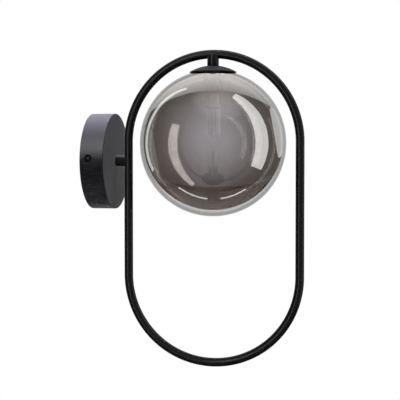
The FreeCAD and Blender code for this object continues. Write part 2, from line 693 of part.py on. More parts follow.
def make_lip_gasket():
    """Silicone ring on the glass lip."""
    outer = LIP_OUT_R - LIP_ROUND - GASKET_INSET
    return ring(outer, LIP_BORE_R + GASKET_INSET, GASKET_SHEET, Vector(LOOP_X, 0, LIP_TOP), Z)


def make_bulb_base():
    """Moulded base of the plug-in lamp: a flattened neck on a round collar."""
    foot = Vector(LOOP_X, 0, BULB_TOP - BULB_BASE_HEIGHT)
    flat_low = foot + Vector(-BULB_BASE_HALF_X, -BULB_BASE_R, 0)
    flat_high = foot + Vector(BULB_BASE_HALF_X, BULB_BASE_R, BULB_BASE_HEIGHT)
    neck = rod(BULB_BASE_R, BULB_BASE_HEIGHT, foot, Z).common(block(flat_low, flat_high))
    return neck.fuse(rod(BULB_COLLAR_R, BULB_COLLAR_HEIGHT, foot, Z)).removeSplitter()


def make_bulb_pins():
    """Two looped wire pins."""
    pins = []
    for side in (-1, 1):
        middle = Vector(LOOP_X, side * PIN_SPACING / 2, BULB_TOP)
        left = middle - X * PIN_LEG_X
        right = middle + X * PIN_LEG_X
        rise = Z * PIN_REACH
        crown = Part.Arc(left + rise, middle + rise + Z * PIN_LEG_X, right + rise).toShape()
        path = Part.Wire([line(left, left + rise), crown, line(right + rise, right)])
        section = Part.Wire([Part.makeCircle(PIN_WIRE_R, left, Z)])
        pins.append(path.makePipeShell([section], True, False))
    return Part.makeCompound(pins)


def make_bulb_core():
    """Ceramic light strip on the lamp's axis."""
    top = BULB_TOP - BULB_BASE_HEIGHT
    low = Vector(LOOP_X - CORE_HALF_SHEET, -CORE_HALF_WIDTH, top - CORE_LENGTH)
    return block(low, Vector(LOOP_X + CORE_HALF_SHEET, CORE_HALF_WIDTH, top))


def capsule(radius, foot, top):
    """Round-ended rod on the globe's axis, its round end down."""
    centre = Vector(LOOP_X, 0, foot + radius)
    return rod(radius, top - centre.z, centre, Z).fuse(Part.makeSphere(radius, centre)).removeSplitter()


def make_bulb_cover():
    """Clear domed capsule over the light strip."""
    top = BULB_TOP - BULB_BASE_HEIGHT
    foot = BULB_TOP - BULB_LENGTH
    room = capsule(BULB_COVER_R - BULB_COVER_WALL, foot + BULB_COVER_WALL, top + OVERCUT)
    return capsule(BULB_COVER_R, foot, top).cut(room)


# ---- leads -----------------------------------------------------------------------------------------


def make_supply_lead(pole_y, side, first_bend_r):
    """Lead from a terminal, through arm, loop and stem, to the holder's top."""
    y = side * LEAD_SPREAD
    points = [
        Vector(BARREL_X, pole_y, BLOCK_Z + LEAD_ENTRY),
        Vector(BARREL_X, pole_y, -4),
        Vector(BARREL_X + 2.2, y, 0),
        Vector(TUBE_X, y, 0),
        Vector(TUBE_X, y, TUBE_TOP_Z),
        Vector(LOOP_X, y, TUBE_TOP_Z),
        Vector(LOOP_X, y, HOLDER_TOP),
    ]
    radii = [first_bend_r, first_bend_r, LEAD_ARM_BEND_R, LOOP_HALF_WIDTH - LEAD_SHORTCUT, LEAD_STEM_BEND_R]
    return lead(points, radii)


def make_earth_lead():
    """Short lead from the earth pole to the lug's crimp."""
    tail_end = Vector(LUG_TAIL_X, EARTH_Y, EARTH_Z) + TAIL_WAY * LUG_TAIL
    points = [
        Vector(BARREL_X, BLOCK_PITCH, BLOCK_Z + LEAD_ENTRY),
        Vector(BARREL_X, BLOCK_PITCH, -8.5),
        tail_end + TAIL_WAY * 2.6,
        tail_end - TAIL_WAY * (LUG_CRIMP_LENGTH - 0.4),
    ]
    return lead(points, [2.0, 2.0])


def make_parts():
    """Every piece by its name."""
    loop = loop_solid(TUBE_R)
    stem_nipple_length = STEM_NIPPLE_TOP - STEM_NIPPLE_FOOT
    return {
        "wall_bracket": make_wall_bracket(),
        "canopy": make_canopy(),
        "canopy_screw_front": make_side_screw(-1),
        "canopy_screw_rear": make_side_screw(1),
        "earth_screw": make_earth_screw(),
        "earth_washer": make_earth_washer(),
        "earth_lug": make_earth_lug(),
        "terminal_housing": make_terminal_housing(),
        "terminal_barrels": make_terminal_barrels(),
        "terminal_screws": make_terminal_screws(),
        "terminal_fixing_screws": make_terminal_fixing_screws(),
        "arm_lock_washer": make_arm_lock_washer(),
        "arm_nut": make_arm_nut(),
        "arm_nipple": make_nipple(X * NIPPLE_START_X, X, NIPPLE_END_X - NIPPLE_START_X),
        "arm_sleeve": make_arm_sleeve(loop),
        "nipple_bushes": make_nipple_bushes(),
        "frame_tube": make_frame_tube(loop),
        "stem_sleeve": make_stem_sleeve(loop),
        "stem_nipple": make_nipple(Vector(LOOP_X, 0, STEM_NIPPLE_FOOT), Z, stem_nipple_length),
        "globe_cap": make_globe_cap(),
        "thread_gallery": make_thread_gallery(),
        "holder_bracket": make_holder_bracket(),
        "stem_nut": make_stem_nut(),
        "lamp_holder": make_lamp_holder(),
        "holder_contacts": make_holder_contacts(),
        "holder_screws": make_holder_screws(),
        "globe": make_globe(),
        "lip_gasket": make_lip_gasket(),
        "bulb_base": make_bulb_base(),
        "bulb_pins": make_bulb_pins(),
        "bulb_core": make_bulb_core(),
        "bulb_cover": make_bulb_cover(),
        "live_lead": make_supply_lead(POLES[0], -1, 2.5),
        "neutral_lead": make_supply_lead(POLES[1], 1, 1.6),
        "earth_lead": make_earth_lead(),
    }


os.makedirs("parts", exist_ok=True)
for name, shape in make_parts().items():
    if not shape.isValid() or not shape.Solids:
        raise RuntimeError(f"{name} is not a valid solid")
    print(f"{name}: {len(shape.Solids)} solid(s), {shape.Volume / 1000:.3f} cm3")
    shape.exportStep(f"parts/{name}.step")
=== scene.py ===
import math

import bmesh
import bpy
from mathutils import Matrix, Vector


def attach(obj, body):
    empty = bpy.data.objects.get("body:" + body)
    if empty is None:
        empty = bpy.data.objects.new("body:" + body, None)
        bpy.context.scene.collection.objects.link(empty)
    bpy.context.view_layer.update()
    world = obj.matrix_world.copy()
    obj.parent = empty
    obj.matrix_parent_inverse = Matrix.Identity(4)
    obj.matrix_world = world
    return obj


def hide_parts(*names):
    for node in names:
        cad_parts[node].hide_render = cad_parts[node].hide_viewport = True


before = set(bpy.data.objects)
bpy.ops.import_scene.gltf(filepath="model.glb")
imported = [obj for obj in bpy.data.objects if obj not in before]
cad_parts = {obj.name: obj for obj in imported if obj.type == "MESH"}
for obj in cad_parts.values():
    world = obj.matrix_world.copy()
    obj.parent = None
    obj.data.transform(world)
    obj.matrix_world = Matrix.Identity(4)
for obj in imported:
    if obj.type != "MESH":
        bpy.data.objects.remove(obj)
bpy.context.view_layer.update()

# ---- canopy ----------------------------------------------------------------------------------
# Round cup drawn from 1.2 mm steel sheet, open to the wall, with a hole for the arm and two
# dimples pressed in for the side screws. Powder coated black like the whole frame.

CANOPY_R = 0.0495
CANOPY_DEPTH = 0.0245
CANOPY_WALL = 0.0012
CANOPY_HOLE_R = 0.0052
CANOPY_EDGE = 0.0005
RING_STEPS = 128
ROUND_STEPS = 3
SIDE_SCREW_X = 0.0088
SIDE_SCREW_Z = 0.003
DIMPLE_DEPTH = 0.0026
DIMPLE_MOUTH_R = 0.0046
DIMPLE_FLOOR_R = 0.0023
DIMPLE_SHEET = 0.001
DIMPLE_STEPS = 48
DIMPLE_PRESS_R = 0.0004
DIMPLE_CUT_UNDER = 0.0001
DIMPLE_CUT_OVER = 0.001
PLUG_INSET = 0.00002
MOUTH_BAND = 0.001
MOUTH_REACH = 0.0013
QUARTER = math.pi / 2
SAME_PLACE = 1e-7
SHARP_ANGLE = math.radians(32)


def linear(hex_colour):
    """An sRGB hex colour as the linear values that shaders take."""
    values = []
    for start in (1, 3, 5):
        part = int(hex_colour[start : start + 2], 16) / 255
        values.append(part / 12.92 if part <= 0.04045 else ((part + 0.055) / 1.055) ** 2.4)
    return (*values, 1.0)


def add(tree, kind, settings, **links):
    """Adds one node. Settings set sockets, by name or number, and properties. Links name their sources."""
    node = tree.nodes.new(kind)
    for name, value in settings.items():
        if isinstance(name, int) or name in node.inputs:
            node.inputs[name].default_value = value
        else:
            setattr(node, name, value)
    for name, source in links.items():
        tree.links.new(source, node.inputs[name.replace("_", " ")])
    return node


def new_material(name):
    """An empty material and its node tree, with an output."""
    material = bpy.data.materials.new(name)
    material.use_nodes = True
    material.node_tree.nodes.clear()
    return material, material.node_tree


def end_material(tree, shader):
    """Sends a shader to the material's surface."""
    add(tree, "ShaderNodeOutputMaterial", {}, Surface=shader.outputs[0])


def powder_coat(name, colour, roughness, sheen):
    """Satin black powder coat: dark, with the soft broken gloss of orange peel about 1.6 mm across."""
    material, tree = new_material(name)
    place = add(tree, "ShaderNodeTexCoord", {}).outputs["Object"]
    peel = add(tree, "ShaderNodeTexNoise", {"Scale": 620.0, "Detail": 2.0, "Roughness": 0.45}, Vector=place)
    cloud = add(tree, "ShaderNodeTexNoise", {"Scale": 26.0, "Detail": 3.0}, Vector=place)
    shade = add(tree, "ShaderNodeMapRange", {"To Min": roughness - 0.04, "To Max": roughness + 0.05},
                Value=cloud.outputs["Fac"])
    bump = add(tree, "ShaderNodeBump", {"Strength": 0.06, "Distance": 0.00005}, Height=peel.outputs["Fac"])
    shader = add(tree, "ShaderNodeBsdfPrincipled",
                 {"Base Color": linear(colour), "Specular IOR Level": sheen, "IOR": 1.5},
                 Roughness=shade.outputs["Result"], Normal=bump.outputs["Normal"])
    end_material(tree, shader)
    return material


def finish_piece(name, bm, body, nodes, materials):
    """Turns a bmesh into a named piece that rides on a body and stands for its CAD nodes."""
    bmesh.ops.remove_doubles(bm, verts=bm.verts, dist=SAME_PLACE)
    bmesh.ops.recalc_face_normals(bm, faces=bm.faces)
    mesh = bpy.data.meshes.new(name)
    bm.to_mesh(mesh)
    bm.free()
    mesh.shade_smooth()
    mesh.set_sharp_from_angle(angle=SHARP_ANGLE)
    piece = bpy.data.objects.new(name, mesh)
    bpy.context.scene.collection.objects.link(piece)
    for material in materials:
        mesh.materials.append(material)
    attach(piece, body)
    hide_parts(*nodes)
    return piece


def weigh_normals(piece):
    """Lets large faces decide the shading, so that small bevels don't smear over them."""
    weights = piece.modifiers.new("face_weights", "WEIGHTED_NORMAL")
    weights.keep_sharp = True


def outline_face(bm, points):
    """A flat face through a few points, given as (along X, out along Z)."""
    return bm.faces.new([bm.verts.new((x, 0, z)) for x, z in points])


def round_corners(bm, corners, size):
    """Rounds some corners of an outline face."""
    bmesh.ops.bevel(bm, geom=corners, offset=size, segments=ROUND_STEPS, profile=0.5, affect="VERTICES",
                    material=-1)


def spin_outline(bm, centre, axis, steps):
    """Turns the outline once round an axis and drops the flat face it came from."""
    flat = list(bm.faces)
    bmesh.ops.spin(bm, geom=list(bm.verts) + list(bm.edges), cent=centre, axis=axis, angle=2 * math.pi,
                   steps=steps, use_merge=True)
    bmesh.ops.delete(bm, geom=flat, context="FACES_ONLY")


cup = bmesh.new()
face_in = CANOPY_DEPTH - CANOPY_WALL
wall_in = CANOPY_R - CANOPY_WALL
outline_face(cup, [(0, wall_in), (0, CANOPY_R), (CANOPY_DEPTH, CANOPY_R), (CANOPY_DEPTH, CANOPY_HOLE_R),
                   (face_in, CANOPY_HOLE_R), (face_in, wall_in)])
round_corners(cup, list(cup.verts), CANOPY_EDGE)
spin_outline(cup, (0, 0, 0), (1, 0, 0), RING_STEPS)


def carve(bm, tool, operation):
    """Joins, cuts or trims one closed mesh with another and gives the result as a new bmesh."""
    blanks = []
    for source in (bm, tool):
        bmesh.ops.remove_doubles(source, verts=source.verts, dist=SAME_PLACE)
        bmesh.ops.recalc_face_normals(source, faces=source.faces)
        mesh = bpy.data.meshes.new("blank")
        source.to_mesh(mesh)
        source.free()
        blanks.append(bpy.data.objects.new("blank", mesh))
        bpy.context.scene.collection.objects.link(blanks[-1])
    step = blanks[0].modifiers.new("step", "BOOLEAN")
    step.operation = operation
    step.solver = "EXACT"
    step.object = blanks[1]
    bpy.context.view_layer.update()
    done = bmesh.new()
    done.from_object(blanks[0], bpy.context.evaluated_depsgraph_get())
    for blank in blanks:
        bpy.data.meshes.remove(blank.data)
    return done


def dimple_cones(low_y, high_y, thicker):
    """The cones of both dimples between two distances from the canopy's axis."""
    slope = (DIMPLE_MOUTH_R - DIMPLE_FLOOR_R) / DIMPLE_DEPTH
    low_r, high_r = (DIMPLE_FLOOR_R + thicker + slope * (y - CANOPY_R + DIMPLE_DEPTH)
                     for y in (low_y, high_y))
    cones = bmesh.new()
    for side in (-1, 1):
        turn = Vector((0, side, 0)).to_track_quat("Z", "X").to_matrix().to_4x4()
        place = Matrix.Translation((SIDE_SCREW_X, side * (low_y + high_y) / 2, SIDE_SCREW_Z)) @ turn
        bmesh.ops.create_cone(cones, cap_ends=True, segments=DIMPLE_STEPS, radius1=low_r, radius2=high_r,
                              depth=high_y - low_y, matrix=place)
    return cones


drum = bmesh.new()
bmesh.ops.create_cone(drum, cap_ends=True, segments=RING_STEPS, radius1=CANOPY_R - PLUG_INSET,
                      radius2=CANOPY_R - PLUG_INSET, depth=2 * CANOPY_DEPTH,
                      matrix=Matrix.Rotation(QUARTER, 4, "Y"))
dimple_floor = CANOPY_R - DIMPLE_DEPTH
plugs = carve(dimple_cones(dimple_floor, CANOPY_R, DIMPLE_SHEET), drum, "INTERSECT")
cup = carve(cup, plugs, "UNION")
cup = carve(cup, dimple_cones(dimple_floor - DIMPLE_CUT_UNDER, CANOPY_R + DIMPLE_CUT_OVER, 0), "DIFFERENCE")


def off_screw_line(vert):
    """How far a vertex lies from the line of the side screws."""
    return (vert.co - Vector((SIDE_SCREW_X, 0, SIDE_SCREW_Z))).xz.length


mouths = [e for e in cup.edges if e.calc_face_angle(0) > SHARP_ANGLE
          and min(abs(v.co.y) for v in e.verts) > CANOPY_R - MOUTH_REACH
          and min(off_screw_line(v) for v in e.verts) > DIMPLE_FLOOR_R + MOUTH_BAND
          and max(off_screw_line(v) for v in e.verts) < DIMPLE_MOUTH_R + MOUTH_BAND]
bmesh.ops.bevel(cup, geom=mouths, offset=DIMPLE_PRESS_R, segments=ROUND_STEPS, profile=0.5, affect="EDGES",
                material=-1, clamp_overlap=True)
canopy_coat = powder_coat("powder_coat_charcoal_satin", "#2a292f", roughness=0.38, sheen=0.08)
canopy = finish_piece("canopy_cup", cup, "fixture", ["canopy"], [canopy_coat])
weigh_normals(canopy)
canopy.visible_glossy = False

# ---- side screws of the canopy ---------------------------------------------------------------
# Two M4 x 7 countersunk cross-head screws, black nickel plated. They sit just inside the dimples.

SIDE_HEAD_TOP = 0.04905
SIDE_HEAD_FOOT = 0.04715
SIDE_TIP = 0.04015
SIDE_HEAD_FOOT_R = 0.00207
SIDE_HEAD_R = 0.00375
SIDE_HEAD_RIM = 0.00025
SIDE_HEAD_ROUND = 0.0002
SIDE_NECK = 0.0003
SIDE_POINT_R = 0.0011
SIDE_POINT = 0.0005
SIDE_THREAD_START = SIDE_TIP + 0.0004
SIDE_THREAD_END = SIDE_HEAD_FOOT - 0.0006
SIDE_TURN = 0.5
M4_CREST_R = 0.0019
M4_ROOT_R = 0.00155
M4_PITCH = 0.0007
M4_RIDGE = 0.0006
M4_RIDGE_TOP = 0.00012
THREAD_SUNK = 0.00006
SCREW_STEPS = 48
CROSS_LENGTH = 0.0038
CROSS_WIDTH = 0.0009
CROSS_DEPTH = 0.0013
CROSS_FLOOR_SHARE = (0.62, 0.8)
CROSS_MOUTH_SHARE = (1.38, 1.2)


def turned(bm, points, steps):
    """A closed shape turned round the X axis from a line of (along X, radius) points."""
    verts = [bm.verts.new((x, 0, r)) for x, r in points]
    for a, b in zip(verts, verts[1:]):
        bm.edges.new((a, b))
    bmesh.ops.spin(bm, geom=list(bm.verts) + list(bm.edges), cent=(0, 0, 0), axis=(1, 0, 0),
                   angle=2 * math.pi, steps=steps, use_merge=True)
    bmesh.ops.remove_doubles(bm, verts=bm.verts, dist=SAME_PLACE)


def thread_ridge(bm, root_r, crest_r, pitch, start, end, root_width, crest_width, steps):
    """A right-hand thread round the X axis: one ridge, closed at both ends, its root sunk a little."""
    sunk = root_r - THREAD_SUNK if crest_r > root_r else root_r + THREAD_SUNK
    points = [(start, sunk), (start + (root_width - crest_width) / 2, crest_r),
              (start + (root_width + crest_width) / 2, crest_r), (start + root_width, sunk)]
    section = bm.faces.new([bm.verts.new((x, 0, r)) for x, r in points])
    turns = round((end - start - root_width) / pitch * steps)
    made = bmesh.ops.spin(bm, geom=list(section.verts) + list(section.edges), cent=(0, 0, 0), axis=(1, 0, 0),
                          angle=2 * math.pi * turns / steps, steps=turns, dvec=(pitch / steps, 0, 0))
    bmesh.ops.contextual_create(bm, geom=[e for e in made["geom_last"] if isinstance(e, bmesh.types.BMEdge)])


def cross_tools(top):
    """The two crossed wedges of a driver recess that opens towards +X at a height."""
    tools = []
    for turn in (0, QUARTER):
        tool = bmesh.new()
        bmesh.ops.create_cube(tool, size=1.0)
        for vert in tool.verts:
            at_floor = vert.co.x < 0
            along, across = CROSS_FLOOR_SHARE if at_floor else CROSS_MOUTH_SHARE
            vert.co = Vector((top - CROSS_DEPTH if at_floor else top + CROSS_DEPTH,
                              vert.co.y * CROSS_LENGTH * along, vert.co.z * CROSS_WIDTH * across))
        tool.transform(Matrix.Rotation(turn, 4, "X"))
        tools.append(tool)
    return tools


# A Mix node's sockets share their names, so its colours are reached by number.
COLOUR_A = 6
COLOUR_B = 7
MIXED = 2


def plated_steel(name, colour, second, roughness, cloud):
    """Plated steel: an even metal sheen whose tint and gloss drift in soft clouds, as plating does."""
    material, tree = new_material(name)
    place = add(tree, "ShaderNodeTexCoord", {}).outputs["Object"]
    drift = add(tree, "ShaderNodeTexNoise", {"Scale": 1 / cloud, "Detail": 3.0}, Vector=place)
    grain = add(tree, "ShaderNodeTexNoise", {"Scale": 9000.0, "Detail": 1.0}, Vector=place)
    tint = add(tree, "ShaderNodeMix",
               {"data_type": "RGBA", COLOUR_A: linear(colour), COLOUR_B: linear(second)},
               Factor=drift.outputs["Fac"])
    gloss = add(tree, "ShaderNodeMapRange", {"To Min": roughness - 0.05, "To Max": roughness + 0.06},
                Value=drift.outputs["Fac"])
    bump = add(tree, "ShaderNodeBump", {"Strength": 0.2, "Distance": 0.00002}, Height=grain.outputs["Fac"])
    shader = add(tree, "ShaderNodeBsdfPrincipled", {"Metallic": 1.0}, Base_Color=tint.outputs[MIXED],
                 Roughness=gloss.outputs["Result"], Normal=bump.outputs["Normal"])
    end_material(tree, shader)
    return material


black_nickel = plated_steel("black_nickel_plate", "#161618", "#0f0f11", roughness=0.25, cloud=0.004)
for side, name, node, body in ((-1, "side_screw_front", "canopy_screw_front", "front_screw"),
                               (1, "side_screw_rear", "canopy_screw_rear", "rear_screw")):
    screw = bmesh.new()
    turned(screw, [(SIDE_TIP, 0), (SIDE_TIP, SIDE_POINT_R), (SIDE_TIP + SIDE_POINT, M4_ROOT_R),
                   (SIDE_HEAD_FOOT - SIDE_NECK, M4_ROOT_R), (SIDE_HEAD_FOOT, SIDE_HEAD_FOOT_R),
                   (SIDE_HEAD_TOP - SIDE_HEAD_RIM, SIDE_HEAD_R),
                   (SIDE_HEAD_TOP, SIDE_HEAD_R - SIDE_HEAD_ROUND), (SIDE_HEAD_TOP, 0)], SCREW_STEPS)
    for tool in cross_tools(SIDE_HEAD_TOP):
        screw = carve(screw, tool, "DIFFERENCE")
    thread_ridge(screw, M4_ROOT_R, M4_CREST_R, M4_PITCH, SIDE_THREAD_START, SIDE_THREAD_END, M4_RIDGE,
                 M4_RIDGE_TOP, SCREW_STEPS)
    screw.transform(Matrix.Translation((SIDE_SCREW_X, 0, SIDE_SCREW_Z))
                    @ Matrix.Rotation(side * QUARTER, 4, "Z") @ Matrix.Rotation(SIDE_TURN, 4, "X"))
    piece = finish_piece(name, screw, body, [node], [black_nickel])
    piece.visible_glossy = False
    weigh_normals(piece)

# ---- wall bracket and earth fixing -----------------------------------------------------------
# Folded strap of 1.5 mm zinc plated steel with its earth screw, toothed washer, ring lug and the
# terminal block that it carries. Punched edges are slightly rounded.

SAME_CORNER = 2e-6
FLAT_ANGLE = 0.01
EDGE_STEPS = 2


def shop_copy(node, name, body, material, edge):
    """The node's own shape as one closed mesh, its sharp edges broken by a small bevel."""
    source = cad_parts[node]
    bm = bmesh.new()
    bm.from_mesh(source.data)
    bm.transform(source.matrix_world)
    bmesh.ops.remove_doubles(bm, verts=bm.verts, dist=SAME_CORNER)
    bmesh.ops.dissolve_limit(bm, angle_limit=FLAT_ANGLE, verts=bm.verts, edges=bm.edges)
    if edge:
        sharp = [e for e in bm.edges if len(e.link_faces) == 2 and e.calc_face_angle(0) > SHARP_ANGLE]
        bmesh.ops.bevel(bm, geom=sharp, offset=edge, segments=EDGE_STEPS, profile=0.5, affect="EDGES",
                        material=-1, clamp_overlap=True)
    piece = finish_piece(name, bm, body, [node], [material])
    weigh_normals(piece)
    return piece


def moulded(name, colour, second, roughness, speck, depth, soft):
    """Moulded plastic or pressed ceramic: matt and pale, with fine specks and a faint skin texture."""
    material, tree = new_material(name)
    place = add(tree, "ShaderNodeTexCoord", {}).outputs["Object"]
    specks = add(tree, "ShaderNodeTexNoise", {"Scale": 1 / speck, "Detail": 4.0, "Roughness": 0.6},
                 Vector=place)
    tint = add(tree, "ShaderNodeMix",
               {"data_type": "RGBA", COLOUR_A: linear(colour), COLOUR_B: linear(second)},
               Factor=specks.outputs["Fac"])
    bump = add(tree, "ShaderNodeBump", {"Strength": 0.3, "Distance": depth}, Height=specks.outputs["Fac"])
    shader = add(tree, "ShaderNodeBsdfPrincipled",
                 {"Roughness": roughness, "IOR": 1.5, "Subsurface Weight": soft, "Subsurface Scale": 0.001},
                 Base_Color=tint.outputs[MIXED], Normal=bump.outputs["Normal"])
    end_material(tree, shader)
    return material


# The scale at which a wave texture repeats once in a metre.
WAVE_PER_METRE = 0.314


def turned_metal(name, colour, roughness, pitch, axis):
    """Turned or drawn metal: fine parallel tool lines that stretch the highlights across them."""
    material, tree = new_material(name)
    place = add(tree, "ShaderNodeTexCoord", {}).outputs["Object"]
    lines = add(tree, "ShaderNodeTexWave", {"wave_type": "BANDS", "bands_direction": axis,
                                            "Scale": WAVE_PER_METRE / pitch, "Distortion": 0.6}, Vector=place)
    cloud = add(tree, "ShaderNodeTexNoise", {"Scale": 260.0, "Detail": 2.0}, Vector=place)
    gloss = add(tree, "ShaderNodeMapRange", {"To Min": roughness - 0.05, "To Max": roughness + 0.08},
                Value=cloud.outputs["Fac"])
    bump = add(tree, "ShaderNodeBump", {"Strength": 0.25, "Distance": pitch / 20},
               Height=lines.outputs["Fac"])
    shader = add(tree, "ShaderNodeBsdfPrincipled", {"Base Color": linear(colour), "Metallic": 1.0},
                 Roughness=gloss.outputs["Result"], Normal=bump.outputs["Normal"])
    end_material(tree, shader)
    return material


zinc = plated_steel("zinc_plate_blue_white", "#c6c9cb", "#bfc0ba", roughness=0.34, cloud=0.009)
tinned = plated_steel("tinned_copper", "#d2d1cd", "#c6c2ba", roughness=0.38, cloud=0.003)
brass = turned_metal("turned_brass", "#c9a766", roughness=0.30, pitch=0.00018, axis="X")
nylon = moulded("nylon_natural", "#e7e1d0", "#ddd5c0", roughness=0.45, speck=0.0012, depth=0.00003, soft=0.2)
for node, name, slot, material, edge in (
        ("wall_bracket", "bracket_strap", "zinc_steel", zinc, 0.0002),
        ("earth_screw", "earth_screw_m4", "zinc_steel", zinc, 0.00015),
        ("earth_washer", "earth_toothed_washer", "zinc_steel", zinc, 0.00005),
        ("earth_lug", "earth_ring_lug", "tinned_copper", tinned, 0.0001),
        ("terminal_housing", "terminal_body", "nylon_natural", nylon, 0.00025),
        ("terminal_barrels", "terminal_clamps", "turned_brass", brass, 0.00012),
        ("terminal_screws", "terminal_clamp_screws", "zinc_steel", zinc, 0.0001),
        ("terminal_fixing_screws", "terminal_fixings", "zinc_steel", zinc, 0.0001)):
    shop_copy(node, name, "fixture", material, edge).visible_glossy = False

# ---- arm sleeve and stem sleeve --------------------------------------------------------------
# Two short sleeves turned from 12 mm steel bar. One end sits on the canopy or the cap, the other
# is notched over the tube as far as its middle and welded; the weld is dressed before coating.

TUBE_R = 0.0045
LOOP_X = 0.1275
LOOP_Z = -0.049
LOOP_HALF_WIDTH = 0.08975
LOOP_HALF_HEIGHT = 0.1585
STRAIGHT_HALF = LOOP_HALF_HEIGHT - LOOP_HALF_WIDTH
TUBE_X = LOOP_X - LOOP_HALF_WIDTH
TUBE_TOP = LOOP_Z + LOOP_HALF_HEIGHT
SLEEVE_R = 0.006
SLEEVE_BORE_R = 0.0048
SLEEVE_EDGE = 0.0006
SLEEVE_STEPS = 96
RIM_ANGLE = 0.5
CLOSE = 1e-6
CAP_TOP = 0.0979
STEM_SUNK = 0.0004


def saddle_sleeve(bm, length):
    """A sleeve along +Z that ends in a notch over a tube lying along Y at height length."""
    bmesh.ops.create_circle(bm, segments=SLEEVE_STEPS, radius=SLEEVE_BORE_R)
    edges = list(bm.edges)
    for radius, at_tube in ((SLEEVE_R, False), (SLEEVE_R, True), (TUBE_R, True)):
        grown = bmesh.ops.extrude_edge_only(bm, edges=edges)["geom"]
        edges = [e for e in grown if isinstance(e, bmesh.types.BMEdge)]
        for vert in (v for v in grown if isinstance(v, bmesh.types.BMVert)):
            vert.co.xy = vert.co.xy.normalized() * radius
            if at_tube:
                vert.co.z = length - math.sqrt(max(0, TUBE_R**2 - vert.co.x**2))
    bmesh.ops.contextual_create(bm, geom=edges)
    first = [e for e in bm.edges if e.is_boundary]
    bmesh.ops.contextual_create(bm, geom=first)
    rims = [e for e in bm.edges if e.calc_face_angle(0) > RIM_ANGLE
            and all(abs(v.co.xy.length - SLEEVE_R) < CLOSE for v in e.verts)]
    bmesh.ops.bevel(bm, geom=rims, offset=SLEEVE_EDGE, segments=ROUND_STEPS, profile=0.5, affect="EDGES",
                    material=-1)


coat = powder_coat("powder_coat_black_satin", "#0c0b0e", roughness=0.25, sheen=0.20)
arm = bmesh.new()
saddle_sleeve(arm, TUBE_X - CANOPY_DEPTH)
arm.transform(Matrix.Translation((CANOPY_DEPTH, 0, 0)) @ Matrix.Rotation(QUARTER, 4, "Y")
              @ Matrix.Rotation(QUARTER, 4, "Z"))
arm_sleeve = finish_piece("arm_sleeve_steel", arm, "fixture", ["arm_sleeve"], [coat])
arm_sleeve.visible_glossy = False
stem = bmesh.new()
stem_foot = CAP_TOP - STEM_SUNK
saddle_sleeve(stem, TUBE_TOP - stem_foot)
stem.transform(Matrix.Translation((LOOP_X, 0, stem_foot)) @ Matrix.Rotation(QUARTER, 4, "Z"))
stem_sleeve = finish_piece("stem_sleeve_steel", stem, "fixture", ["stem_sleeve"], [coat])

# ---- frame tube ------------------------------------------------------------------------------
# One 9 mm steel tube bent to a stadium-shaped loop and butt welded, then ground and coated.

TUBE_STEPS = 64
BEND_STEPS = 128

loop = bmesh.new()
bmesh.ops.create_circle(loop, segments=TUBE_STEPS, radius=TUBE_R,
                        matrix=Matrix.Translation((TUBE_X, 0, LOOP_Z - STRAIGHT_HALF)))
ring = list(loop.edges)
for rise in (1, -1):
    grown = bmesh.ops.extrude_edge_only(loop, edges=ring)["geom"]
    bmesh.ops.translate(loop, verts=[v for v in grown if isinstance(v, bmesh.types.BMVert)],
                        vec=(0, 0, rise * 2 * STRAIGHT_HALF))
    bend = bmesh.ops.spin(loop, geom=[e for e in grown if isinstance(e, bmesh.types.BMEdge)],
                          cent=(LOOP_X, 0, LOOP_Z + rise * STRAIGHT_HALF), axis=(0, 1, 0),
                          angle=math.pi, steps=BEND_STEPS)
    ring = [e for e in bend["geom_last"] if isinstance(e, bmesh.types.BMEdge)]
bmesh.ops.remove_doubles(loop, verts=loop.verts, dist=CLOSE)
tube = finish_piece("frame_loop_tube", loop, "fixture", ["frame_tube"], [coat])
tube.visible_glossy = False

# ---- arm and stem fixings --------------------------------------------------------------------
# Hollow M10 x 1 nipples of zinc plated steel with a rolled thread, flat nuts, a toothed washer and
# the nylon bushes that keep the leads off the nipples' ends.

NIPPLE_BORE_R = 0.0035
NIPPLE_ROOT_R = 0.0045
NIPPLE_CREST_R = 0.00498
NIPPLE_PITCH = 0.001
NIPPLE_RIDGE = 0.0009
NIPPLE_RIDGE_TOP = 0.00015
NIPPLE_END = 0.0002
ARM_NIPPLE_START = 0.015
ARM_NIPPLE_LENGTH = 0.016
STEM_NIPPLE_START = 0.0886
STEM_NIPPLE_LENGTH = 0.0156
up_from_x = Matrix.Rotation(-QUARTER, 4, "Y")
arm_place = Matrix.Translation((ARM_NIPPLE_START, 0, 0))
stem_place = Matrix.Translation((LOOP_X, 0, STEM_NIPPLE_START)) @ up_from_x

for node, name, place, length in (
        ("arm_nipple", "arm_threaded_nipple", arm_place, ARM_NIPPLE_LENGTH),
        ("stem_nipple", "stem_threaded_nipple", stem_place, STEM_NIPPLE_LENGTH)):
    nipple = bmesh.new()
    outline_face(nipple, [(0, NIPPLE_BORE_R), (0, NIPPLE_ROOT_R), (length, NIPPLE_ROOT_R),
                          (length, NIPPLE_BORE_R)])
    round_corners(nipple, list(nipple.verts), NIPPLE_END)
    spin_outline(nipple, (0, 0, 0), (1, 0, 0), SCREW_STEPS)
    thread_ridge(nipple, NIPPLE_ROOT_R, NIPPLE_CREST_R, NIPPLE_PITCH, NIPPLE_END, length - NIPPLE_END,
                 NIPPLE_RIDGE, NIPPLE_RIDGE_TOP, SCREW_STEPS)
    nipple.transform(place)
    piece = finish_piece(name, nipple, "fixture", [node], [zinc])
    piece.visible_glossy = False
    weigh_normals(piece)

